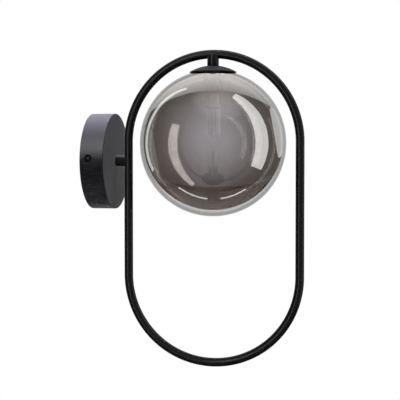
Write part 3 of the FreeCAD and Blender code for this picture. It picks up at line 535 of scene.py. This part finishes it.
for node, name, slot, material, edge in (
        ("arm_lock_washer", "arm_toothed_washer", "zinc_steel", zinc, 0.00005),
        ("arm_nut", "arm_flat_nut", "zinc_steel", zinc, 0.00025),
        ("stem_nut", "stem_flat_nut", "zinc_steel", zinc, 0.00025),
        ("nipple_bushes", "lead_bushes", "nylon_natural", nylon, 0.00015)):
    shop_copy(node, name, "fixture", material, edge).visible_glossy = False

# ---- globe cap -------------------------------------------------------------------------------
# Shallow dome spun from 1 mm steel sheet, held between the stem sleeve and the thread gallery.

CAP_R = 0.024
CAP_RIM = 0.0907
CAP_EDGE = 0.0006
CAP_SHEET = 0.001
CAP_HOLE_R = 0.0052
DOME_STEPS = 24
dome_drop = CAP_TOP - CAP_RIM - CAP_EDGE
dome_r = (CAP_R**2 + dome_drop**2) / (2 * dome_drop)


def arc_outline(bm, centre, start, angle, steps):
    """A line of vertices round a centre in the XZ plane, from a start point. Returns the last vertex."""
    begin = bm.verts.new((start[0], 0, start[1]))
    made = bmesh.ops.spin(bm, geom=[begin], cent=(centre[0], 0, centre[1]), axis=(0, 1, 0), angle=angle,
                          steps=steps)
    return [v for v in made["geom_last"] if isinstance(v, bmesh.types.BMVert)][0]


cap = bmesh.new()
hole_angle = math.asin(CAP_HOLE_R / dome_r)
rim_angle = math.asin(CAP_R / dome_r)
dome_z = CAP_TOP - dome_r
hole_edge = (dome_r * math.sin(hole_angle), dome_z + dome_r * math.cos(hole_angle))
rim = arc_outline(cap, (0, dome_z), hole_edge, rim_angle - hole_angle, DOME_STEPS)
foot = cap.verts.new((CAP_R, 0, CAP_RIM))
cap.edges.new((rim, foot))
bmesh.ops.spin(cap, geom=list(cap.verts) + list(cap.edges), cent=(0, 0, 0), axis=(0, 0, 1),
               angle=2 * math.pi, steps=RING_STEPS, use_merge=True)
bmesh.ops.recalc_face_normals(cap, faces=cap.faces)
if sum(f.normal.z for f in cap.faces) < 0:
    bmesh.ops.reverse_faces(cap, faces=cap.faces)
bmesh.ops.solidify(cap, geom=list(cap.faces), thickness=CAP_SHEET)
cap.transform(Matrix.Translation((LOOP_X, 0, 0)))
# The cap has the frame's own black coat. This copy of it is darker and of lower sheen so that the cap looks
# dimmer under the lights: a painted shade.
cap_shaded_coat = powder_coat("powder_coat_black_dimmed_copy", "#0a0a0c", roughness=0.45, sheen=0.04)
cap_dome = finish_piece("globe_cap_dome", cap, "fixture", ["globe_cap"], [cap_shaded_coat])

# ---- thread gallery, holder bracket and lamp holder ------------------------------------------
# The gallery is turned from aluminium and anodised black; its coarse 4 mm thread takes the glass.
# Under it a folded bracket carries the G9 holder of steatite with bronze contacts.

GALLERY_CREST_R = 0.0147
GALLERY_ROOT_R = 0.0140
GALLERY_BORE_R = 0.0132
GALLERY_HOLE_R = 0.0051
GALLERY_FOOT = 0.086
GALLERY_RELIEF = 0.0924
GALLERY_ROOM = 0.0001
GALLERY_TOP = dome_z + math.sqrt((dome_r - CAP_SHEET) ** 2 - GALLERY_CREST_R**2) - GALLERY_ROOM
GALLERY_DISC = 0.0014
GALLERY_FACE = GALLERY_TOP - GALLERY_DISC
GALLERY_EDGE = 0.00015
GALLERY_THREAD_END = GALLERY_RELIEF - 0.0001
GLASS_LEAD = 0.004
GLASS_THREAD_START = 0.0865
GLASS_RIDGE = 0.0016

black_anodised = turned_metal("black_anodised_aluminium", "#29292c", roughness=0.36, pitch=0.00012, axis="Z")
black_zinc = plated_steel("zinc_plate_black_passivated", "#454548", "#3b3b3f", roughness=0.4, cloud=0.006)
# The steatite is white in itself; its mid grey here is painted shade, standing in for the dimness inside the
# globe.
steatite = moulded("steatite_greyed_painted_shade", "#8f8b84", "#86827a", roughness=0.6, speck=0.0006, depth=0.00004,
                   soft=0.0)
bronze = turned_metal("contact_bronze", "#b88d5e", roughness=0.33, pitch=0.0001, axis="X")
gallery = bmesh.new()
outline_face(gallery, [(GALLERY_FOOT, GALLERY_BORE_R), (GALLERY_FOOT, GALLERY_ROOT_R),
                       (GALLERY_RELIEF, GALLERY_ROOT_R), (GALLERY_RELIEF, GALLERY_CREST_R),
                       (GALLERY_TOP, GALLERY_CREST_R), (GALLERY_TOP, GALLERY_HOLE_R),
                       (GALLERY_FACE, GALLERY_HOLE_R), (GALLERY_FACE, GALLERY_BORE_R)])
round_corners(gallery, list(gallery.verts), GALLERY_EDGE)
spin_outline(gallery, (0, 0, 0), (1, 0, 0), RING_STEPS)
thread_ridge(gallery, GALLERY_ROOT_R, GALLERY_CREST_R, GLASS_LEAD, GLASS_THREAD_START, GALLERY_THREAD_END,
             GLASS_RIDGE, GLASS_RIDGE / 2, RING_STEPS)
gallery.transform(Matrix.Translation((LOOP_X, 0, 0)) @ up_from_x)
collar = finish_piece("gallery_collar", gallery, "fixture", ["thread_gallery"],
                      [black_anodised])
weigh_normals(collar)
for node, name, slot, material, edge in (
        ("holder_bracket", "holder_strap", "zinc_steel", black_zinc, 0.00015),
        ("lamp_holder", "holder_body", "steatite", steatite, 0.0003),
        ("holder_contacts", "holder_springs", "contact_bronze", bronze, 0.00005),
        ("holder_screws", "holder_fixings", "zinc_steel", black_zinc, 0.0001)):
    shop_copy(node, name, "fixture", material, edge)

# ---- globe -----------------------------------------------------------------------------------
# Blown smoke glass globe, 150 mm across, with a thick moulded lip and one coarse thread inside it.
# A thin metal film on the outside mirrors about a third of the light, so that the room shows in
# the glass and the lamp hardly does.

GLOBE_R = 0.075
GLOBE_Z = 0.0185
GLASS_WALL = 0.0018
LIP_TOP = 0.0919
LIP_OUT_R = 0.018
LIP_BORE_R = 0.015
LIP_WALL = 0.0024
LIP_DEPTH = 0.006
LIP_ROUND = 0.0005
LIP_RIDGE_R = 0.01435
LIP_THREAD_END = LIP_TOP - 0.0004
SKIN = 1e-5
GLOBE_STEPS = 160
GLOBE_ARC_STEPS = 96

globe = bmesh.new()
outer_end = math.pi - math.asin(LIP_OUT_R / GLOBE_R)
inner_r = GLOBE_R - GLASS_WALL
lip_in_r = LIP_BORE_R + LIP_WALL
inner_end = math.pi - math.asin(lip_in_r / inner_r)
top_out = arc_outline(globe, (0, GLOBE_Z), (0, GLOBE_Z - GLOBE_R), -outer_end, GLOBE_ARC_STEPS)
top_in = arc_outline(globe, (0, GLOBE_Z), (0, GLOBE_Z - inner_r), -inner_end, GLOBE_ARC_STEPS)
lip_foot = LIP_TOP - LIP_DEPTH
lip_points = [(LIP_OUT_R, LIP_TOP - LIP_ROUND), (LIP_OUT_R - LIP_ROUND, LIP_TOP),
              (LIP_BORE_R + LIP_ROUND, LIP_TOP), (LIP_BORE_R, LIP_TOP - LIP_ROUND),
              (LIP_BORE_R, lip_foot + LIP_ROUND), (LIP_BORE_R + LIP_ROUND, lip_foot),
              (lip_in_r - LIP_ROUND, lip_foot), (lip_in_r, lip_foot + LIP_ROUND)]
line = [top_out] + [globe.verts.new((x, 0, z)) for x, z in lip_points] + [top_in]
for a, b in zip(line, line[1:]):
    globe.edges.new((a, b))
bmesh.ops.spin(globe, geom=list(globe.verts) + list(globe.edges), cent=(0, 0, 0), axis=(0, 0, 1),
               angle=2 * math.pi, steps=GLOBE_STEPS, use_merge=True)
ridge = bmesh.new()
thread_ridge(ridge, LIP_BORE_R, LIP_RIDGE_R, GLASS_LEAD, GLASS_THREAD_START, LIP_THREAD_END, GLASS_RIDGE,
             GLASS_RIDGE / 2, RING_STEPS)
ridge.transform(Matrix.Rotation(math.pi, 4, "Z") @ up_from_x)
blank = bpy.data.meshes.new("blank")
ridge.to_mesh(blank)
ridge.free()
globe.from_mesh(blank)
bpy.data.meshes.remove(blank)
globe.transform(Matrix.Translation((LOOP_X, 0, 0)))
bmesh.ops.remove_doubles(globe, verts=globe.verts, dist=SAME_PLACE)
globe_centre = Vector((LOOP_X, 0, GLOBE_Z))
for face in globe.faces:
    is_inside = max((v.co - globe_centre).length for v in face.verts) < inner_r + SKIN
    face.material_index = 1 if is_inside else 0


def tinted_glass(name, colour):
    """Blown glass, fire polished: sharp reflections that brighten towards the rim, tinted in the mass."""
    material, tree = new_material(name)
    shader = add(tree, "ShaderNodeBsdfPrincipled",
                 {"Base Color": linear(colour), "Roughness": 0.0, "IOR": 1.5, "Transmission Weight": 1.0})
    end_material(tree, shader)
    return material


def half_mirror(name, colour, share):
    """Evaporated metal film on glass: a share of the light is mirrored, the rest goes through."""
    material, tree = new_material(name)
    shader = add(tree, "ShaderNodeBsdfPrincipled",
                 {"Base Color": linear(colour), "Roughness": 0.0, "IOR": 1.5, "Metallic": share,
                  "Transmission Weight": 1.0})
    end_material(tree, shader)
    return material


globe_film = half_mirror("smoke_half_mirror_film", "#f5f4f2", share=0.3)
globe_glass = tinted_glass("blown_smoke_glass", "#d9d6d5")
finish_piece("globe_blown_glass", globe, "glass", ["globe"], [globe_film, globe_glass])

# ---- gasket and bulb -------------------------------------------------------------------------
# Silicone ring above the lip, and a clear G9 capsule lamp with two wire pins and a thin core.

silicone = moulded("silicone_black", "#1b1b1d", "#151516", roughness=0.55, speck=0.0015, depth=0.00002,
                   soft=0.0)
shop_copy("lip_gasket", "lip_ring", "gasket", silicone, edge=0)
# The lamp's base is white plastic; its pale grey here is painted shade, standing in for the dimness inside
# the globe.
bulb_plastic = moulded("bulb_base_plastic_greyed_shade", "#a8a7a5", "#a09f9c", roughness=0.38, speck=0.0010, depth=0.00002,
                       soft=0.0)
pin_wire = turned_metal("nickel_pin_wire", "#bfbbb2", roughness=0.25, pitch=0.0001, axis="Z")
phosphor = moulded("phosphor_silicone", "#d9c27e", "#cbb064", roughness=0.6, speck=0.0008, depth=0.00004,
                   soft=0.2)
capsule = tinted_glass("capsule_clear", "#ffffff")
for node, name, slot, material, edge in (
        ("bulb_base", "lamp_base", "bulb_plastic", bulb_plastic, 0.0003),
        ("bulb_pins", "lamp_pins", "pin_wire", pin_wire, 0),
        ("bulb_core", "lamp_core", "phosphor", phosphor, 0),
        ("bulb_cover", "lamp_capsule", "capsule_clear", capsule, 0)):
    shop_copy(node, name, "lamp", material, edge)

# ---- leads -----------------------------------------------------------------------------------
# Brown and blue silicone leads run to the holder; a short green and yellow one earths the canopy's
# bracket. The earth lead shows its yellow stripe on two sides.


def lead_skin(name, colour, stripe):
    """Soft extruded insulation: satin, with faint ripples along it and, if wanted, a stripe."""
    material, tree = new_material(name)
    place = add(tree, "ShaderNodeTexCoord", {})
    ripple = add(tree, "ShaderNodeTexNoise", {"Scale": 500.0, "Detail": 1.0}, Vector=place.outputs["Object"])
    bump = add(tree, "ShaderNodeBump", {"Strength": 0.2, "Distance": 0.00005}, Height=ripple.outputs["Fac"])
    side = add(tree, "ShaderNodeSeparateXYZ", {}, Vector=place.outputs["Normal"])
    away = add(tree, "ShaderNodeMath", {"operation": "ABSOLUTE"}, Value=side.outputs["Y"])
    step = add(tree, "ShaderNodeMapRange", {"From Min": 0.68, "From Max": 0.72}, Value=away.outputs[0])
    tint = add(tree, "ShaderNodeMix",
               {"data_type": "RGBA", COLOUR_A: linear(colour), COLOUR_B: linear(stripe)},
               Factor=step.outputs["Result"])
    shader = add(tree, "ShaderNodeBsdfPrincipled", {"Roughness": 0.42, "IOR": 1.45},
                 Base_Color=tint.outputs[MIXED], Normal=bump.outputs["Normal"])
    end_material(tree, shader)
    return material


for node, name, slot, colour, stripe in (
        ("live_lead", "lead_live_skin", "lead_brown", "#5b3420", "#5b3420"),
        ("neutral_lead", "lead_neutral_skin", "lead_blue", "#2f5fa8", "#2f5fa8"),
        ("earth_lead", "lead_earth_skin", "lead_green", "#2d8a45", "#e0c62c")):
    skin = lead_skin(slot + "_insulation", colour, stripe)
    shop_copy(node, name, "fixture", skin, edge=0).visible_glossy = False

# ---- studio floor and room -------------------------------------------------------------------
# A pale floor well under the fixture, and the room as the glass sees it: a wide shell round the
# globe, open behind it and to its right rear. It shows only in reflections and through the glass.

FLOOR_Z = -1.2
FLOOR_R = 0.75
FLOOR_STEPS = 96
ROOM_R = 6.0
ROOM_SEGMENTS = 64
ROOM_RINGS = 48
CAMERA_TILT = math.radians(87.72)
CAMERA_TURN = math.radians(12.03)
to_camera = Matrix.Rotation(CAMERA_TURN, 3, "Z") @ Matrix.Rotation(CAMERA_TILT, 3, "X") @ Vector((0, 0, 1))

# Where the room's zones lie from the globe, and the cosine at which each begins.
LOWER_REAR_RISE = -0.1673
LOWER_REAR_EDGE = 0.7716
SIDE_REAR = Vector((0.629, 0.777, 0.14))
SIDE_REAR_EDGE = 0.955
CEILING_RISE = 1.192
CEILING_EDGE = 0.731
CEILING_BLEND = 0.002
FLOOR_ZONE_RISE = -0.8825
FLOOR_ZONE_BACK = 0.4704
FLOOR_ZONE_EDGE = 0.70
FLOOR_ZONE_BLEND = 0.02
BRIGHT_WALL = (0.2, -0.95, 0.24)
OVERHEAD = (0.2, -0.3, 0.93)


def hide(piece, rays):
    """Hides a piece or a light from some kinds of rays."""
    for ray in rays:
        setattr(piece, "visible_" + ray, False)


def stage_piece(name, bm, material, hidden_from):
    """A part of the studio that isn't part of the object, and the kinds of rays that don't see it."""
    mesh = bpy.data.meshes.new(name)
    bm.to_mesh(mesh)
    bm.free()
    piece = bpy.data.objects.new(name, mesh)
    bpy.context.scene.collection.objects.link(piece)
    mesh.materials.append(material)
    hide(piece, hidden_from)


floor = bmesh.new()
bmesh.ops.create_circle(floor, segments=FLOOR_STEPS, radius=FLOOR_R, cap_ends=True,
                        matrix=Matrix.Translation((LOOP_X, 0, FLOOR_Z)))
floor_paint = moulded("pale_floor", "#dedede", "#dadada", roughness=0.8, speck=0.05, depth=0.001, soft=0.0)
stage_piece("studio_floor", floor, floor_paint, ["glossy", "transmission"])

room = bmesh.new()
bmesh.ops.create_uvsphere(room, u_segments=ROOM_SEGMENTS, v_segments=ROOM_RINGS, radius=ROOM_R)
lower_rear = (Vector((0, 0, LOWER_REAR_RISE)) - to_camera).normalized()
for way, edge in ((lower_rear, LOWER_REAR_EDGE), (SIDE_REAR.normalized(), SIDE_REAR_EDGE)):
    bmesh.ops.bisect_plane(room, geom=list(room.verts) + list(room.edges) + list(room.faces),
                           plane_co=way * edge * ROOM_R, plane_no=way, clear_outer=True)
bmesh.ops.reverse_faces(room, faces=room.faces)
room.transform(Matrix.Translation(globe_centre))

# The room's own glow: a grey wall that brightens on the camera's side and overhead, a pale ceiling
# above and behind the globe, and a dark warm floor below and behind it.
room_look, tree = new_material("room_front_grey")
place = add(tree, "ShaderNodeTexCoord", {}).outputs["Object"]
centred = add(tree, "ShaderNodeMapping", {"Location": (-LOOP_X, 0, -GLOBE_Z)}, Vector=place)
outward = add(tree, "ShaderNodeVectorMath", {"operation": "NORMALIZE"}, Vector=centred.outputs[0])


def facing(way):
    """How far the direction from the globe to the room agrees with another one, as a cosine."""
    node = add(tree, "ShaderNodeVectorMath", {"operation": "DOT_PRODUCT", 1: way}, Vector=outward.outputs[0])
    return node.outputs["Value"]


front = add(tree, "ShaderNodeMapRange", {"From Min": -0.2}, Value=facing(BRIGHT_WALL))
front_fall = add(tree, "ShaderNodeMath", {"operation": "POWER", 1: 1.7}, Value=front.outputs[0])
wall_level = add(tree, "ShaderNodeMapRange", {"To Min": 0.13, "To Max": 0.70}, Value=front_fall.outputs[0])
overhead = add(tree, "ShaderNodeMapRange", {"From Min": 0.8, "To Max": 0.42}, Value=facing(OVERHEAD))
wall_sum = add(tree, "ShaderNodeMath", {"operation": "ADD"}, Value=wall_level.outputs[0])
tree.links.new(overhead.outputs[0], wall_sum.inputs[1])
upper_rear = (Vector((0, 0, CEILING_RISE)) - to_camera).normalized()
above = facing(upper_rear)
ceiling_level = add(tree, "ShaderNodeMapRange", {"From Min": CEILING_EDGE, "To Min": 0.66, "To Max": 1.35},
                    Value=above)
on_ceiling = add(tree, "ShaderNodeMapRange",
                 {"From Min": CEILING_EDGE - CEILING_BLEND, "From Max": CEILING_EDGE + CEILING_BLEND},
                 Value=above)
floor_way = (Vector((0, 0, FLOOR_ZONE_RISE)) - to_camera * FLOOR_ZONE_BACK).normalized()
on_floor = add(tree, "ShaderNodeMapRange", {"From Min": FLOOR_ZONE_EDGE - FLOOR_ZONE_BLEND,
                                            "From Max": FLOOR_ZONE_EDGE + FLOOR_ZONE_BLEND},
               Value=facing(floor_way))
upper_level = add(tree, "ShaderNodeMix", {"data_type": "FLOAT"}, Factor=on_ceiling.outputs[0],
                  A=wall_sum.outputs[0], B=ceiling_level.outputs[0])
room_level = add(tree, "ShaderNodeMix", {"data_type": "FLOAT", "B": 0.06}, Factor=on_floor.outputs[0],
                 A=upper_level.outputs[0])
wall_tint = add(tree, "ShaderNodeMix", {"data_type": "RGBA", COLOUR_A: linear("#ffece0"),
                                        COLOUR_B: linear("#f6f4fd")}, Factor=front.outputs[0])
low_tint = add(tree, "ShaderNodeMix", {"data_type": "RGBA", COLOUR_B: linear("#ffc48c")},
               Factor=on_floor.outputs[0])
tree.links.new(wall_tint.outputs[MIXED], low_tint.inputs[COLOUR_A])
room_tint = add(tree, "ShaderNodeMix", {"data_type": "RGBA", COLOUR_B: linear("#fbf8f6")},
                Factor=on_ceiling.outputs[0])
tree.links.new(low_tint.outputs[MIXED], room_tint.inputs[COLOUR_A])
end_material(tree, add(tree, "ShaderNodeEmission", {}, Color=room_tint.outputs[MIXED],
                       Strength=room_level.outputs[0]))
stage_piece("room_front", room, room_look, ["camera", "diffuse", "shadow"])

# ---- cards behind the globe ------------------------------------------------------------------
# Round cards that face the camera from behind the globe, all of them glowing. Light through the glass meets a
# dim grey glowing one, its glow fading towards its foot as painted shade. Reflections meet a paler glowing
# one and two low glowing strips of diffuser.

CARD_STEPS = 96
GREY_CARD_R = 0.8
REAR_CARD_R = 1.1
CARD_BEHIND = 1.2
STRIP_RING_R = 1.29
STRIP_RING_STEPS = 180
STRIP_WIDTH = 0.07
STRIP_BEHIND = 0.19
STRIP_ARCS = ((-40, -5), (8, 38))

grey_glowing_card = bmesh.new()
bmesh.ops.create_circle(grey_glowing_card, segments=CARD_STEPS, radius=GREY_CARD_R, cap_ends=True)
painted_shade_card_glow, tree = new_material("grey_glowing_card")
place = add(tree, "ShaderNodeTexCoord", {}).outputs["Object"]
height = add(tree, "ShaderNodeSeparateXYZ", {}, Vector=place).outputs["Z"]
# Painted shade: the card's glow fades from 0.10 down to 0.02 towards its foot.
shade = add(tree, "ShaderNodeMapRange",
            {"From Min": -0.10, "From Max": -0.02, "To Min": 0.02, "To Max": 0.10}, Value=height)
end_material(tree, add(tree, "ShaderNodeEmission", {"Color": linear("#fbf8fb")}, Strength=shade.outputs[0]))


def white_glow(name, strength):
    """A plain white glowing surface, as a lit card or strip of diffuser shows."""
    material, tree = new_material(name)
    end_material(tree, add(tree, "ShaderNodeEmission", {"Color": linear("#ffffff"), "Strength": strength}))
    return material


rear_card = bmesh.new()
bmesh.ops.create_circle(rear_card, segments=CARD_STEPS, radius=REAR_CARD_R, cap_ends=True)
foot_strips = bmesh.new()
bmesh.ops.create_circle(foot_strips, segments=STRIP_RING_STEPS, radius=STRIP_RING_R)
off_arcs = []
for vert in foot_strips.verts:
    from_foot = math.degrees(math.atan2(vert.co.x, -vert.co.y))
    if not any(start < from_foot < end for start, end in STRIP_ARCS):
        off_arcs.append(vert)
bmesh.ops.delete(foot_strips, geom=off_arcs, context="VERTS")
grown = bmesh.ops.extrude_edge_only(foot_strips, edges=list(foot_strips.edges))["geom"]
bmesh.ops.translate(foot_strips, verts=[v for v in grown if isinstance(v, bmesh.types.BMVert)],
                    vec=(0, 0, STRIP_WIDTH))
for name, bm, behind, look, hidden_from in (
        ("grey_glowing_card", grey_glowing_card, CARD_BEHIND, painted_shade_card_glow, ["camera", "diffuse", "glossy", "shadow"]),
        ("rear_card", rear_card, CARD_BEHIND, white_glow("rear_card_glow", 0.62),
         ["camera", "diffuse", "transmission", "shadow"]),
        ("foot_strips", foot_strips, STRIP_BEHIND, white_glow("foot_strips_glow", 1.5),
         ["camera", "diffuse", "transmission", "shadow"])):
    bm.transform(Matrix.Translation(globe_centre - to_camera * behind)
                 @ to_camera.to_track_quat("Z", "Y").to_matrix().to_4x4())
    stage_piece(name, bm, look, hidden_from)

# ---- surroundings and lights -----------------------------------------------------------------
# White surroundings, tall soft panels to the right and to the left rear, and a soft key from above.
# Two more lights give the black frame its gloss without showing in the glass.

PANEL_Z = 1.31
THROUGH_Z = 1.11
LEFT_STRIP_Z = 0.95
KEY_SPREAD = math.radians(60)
GLOSS_X = -0.49
GLOSS_Y = -1.69
GLOSS_AIM = (LOOP_X, 0, 0.2)

world = bpy.data.worlds.new("white_studio")
bpy.context.scene.world = world
world.use_nodes = True
sky = world.node_tree
sky.nodes.clear()
rays = add(sky, "ShaderNodeLightPath", {})
seen = add(sky, "ShaderNodeMath", {"operation": "ADD"}, Value=rays.outputs["Is Camera Ray"])
sky.links.new(rays.outputs["Is Glossy Ray"], seen.inputs[1])
seen_all = add(sky, "ShaderNodeMath", {"operation": "ADD", "use_clamp": True}, Value=seen.outputs[0])
sky.links.new(rays.outputs["Is Transmission Ray"], seen_all.inputs[1])
sky_level = add(sky, "ShaderNodeMapRange", {"To Min": 0.10, "To Max": 1.0}, Value=seen_all.outputs[0])
white = add(sky, "ShaderNodeBackground", {"Color": linear("#ffffff")}, Strength=sky_level.outputs["Result"])
add(sky, "ShaderNodeOutputWorld", {}, Surface=white.outputs[0])


def soft_light(name, place, aim, size, level, hidden_from):
    """A rectangular soft light that faces a point, with the given brightness of its surface."""
    lamp = bpy.data.lights.new(name, "AREA")
    lamp.shape = "RECTANGLE"
    lamp.size, lamp.size_y = size
    lamp.energy = level * math.pi * size[0] * size[1]
    holder = bpy.data.objects.new(name, lamp)
    holder.location = place
    holder.rotation_mode = "QUATERNION"
    holder.rotation_quaternion = (Vector(aim) - Vector(place)).to_track_quat("-Z", "Y")
    bpy.context.scene.collection.objects.link(holder)
    hide(holder, hidden_from)
    return holder


soft_light("right_panel", place=(1.627, 0.05, PANEL_Z), aim=(LOOP_X, 0, PANEL_Z), size=(0.70, 4.28),
           level=1.45, hidden_from=["transmission"])
soft_light("right_panel_through_glass", place=(1.520, -0.146, THROUGH_Z), aim=(LOOP_X, 0, THROUGH_Z),
           size=(0.45, 3.56), level=4.4, hidden_from=["glossy", "diffuse", "camera"])
soft_light("left_strip", place=(-1.16, 0.552, LEFT_STRIP_Z), aim=(LOOP_X, 0, LEFT_STRIP_Z),
           size=(0.21, 2.9), level=1.1, hidden_from=[])
key = soft_light("key_from_above", place=(0, 0.6, 2.1), aim=(LOOP_X, 0, 0), size=(0.7, 0.7), level=52,
                 hidden_from=["glossy", "transmission"])
key.data.spread = KEY_SPREAD
for name, height, size, level, pieces in (
        ("gloss_on_canopy", 1.15, (0.5, 1.3), 48, [canopy]),
        ("gloss_on_frame", 0.45, (0.30, 1.9), 6, [stem_sleeve, tube, cap_dome])):
    gloss = soft_light(name, (GLOSS_X, GLOSS_Y, height), GLOSS_AIM, size, level, ["diffuse", "transmission"])
    lit = bpy.data.collections.new(name)
    for piece in pieces:
        lit.objects.link(piece)
    gloss.light_linking.receiver_collection = lit

# ---- camera ----------------------------------------------------------------------------------
# A long lens about 1.2 m in front of the fixture, 12 degrees round to its outer side, for the
# photograph's frame.

LENS = 105.37
SENSOR = 36.0
CAMERA_PLACE = (0.3650, -1.1786, 0.0081)

camera = bpy.data.cameras.new("camera")
camera.lens = LENS
camera.sensor_width = SENSOR
camera.clip_start = 0.05
camera.clip_end = 50
eye = bpy.data.objects.new("camera", camera)
eye.location = CAMERA_PLACE
eye.rotation_euler = (CAMERA_TILT, 0, CAMERA_TURN)
bpy.context.scene.collection.objects.link(eye)
bpy.context.scene.camera = eye
bpy.context.scene.view_settings.view_transform = "Standard"
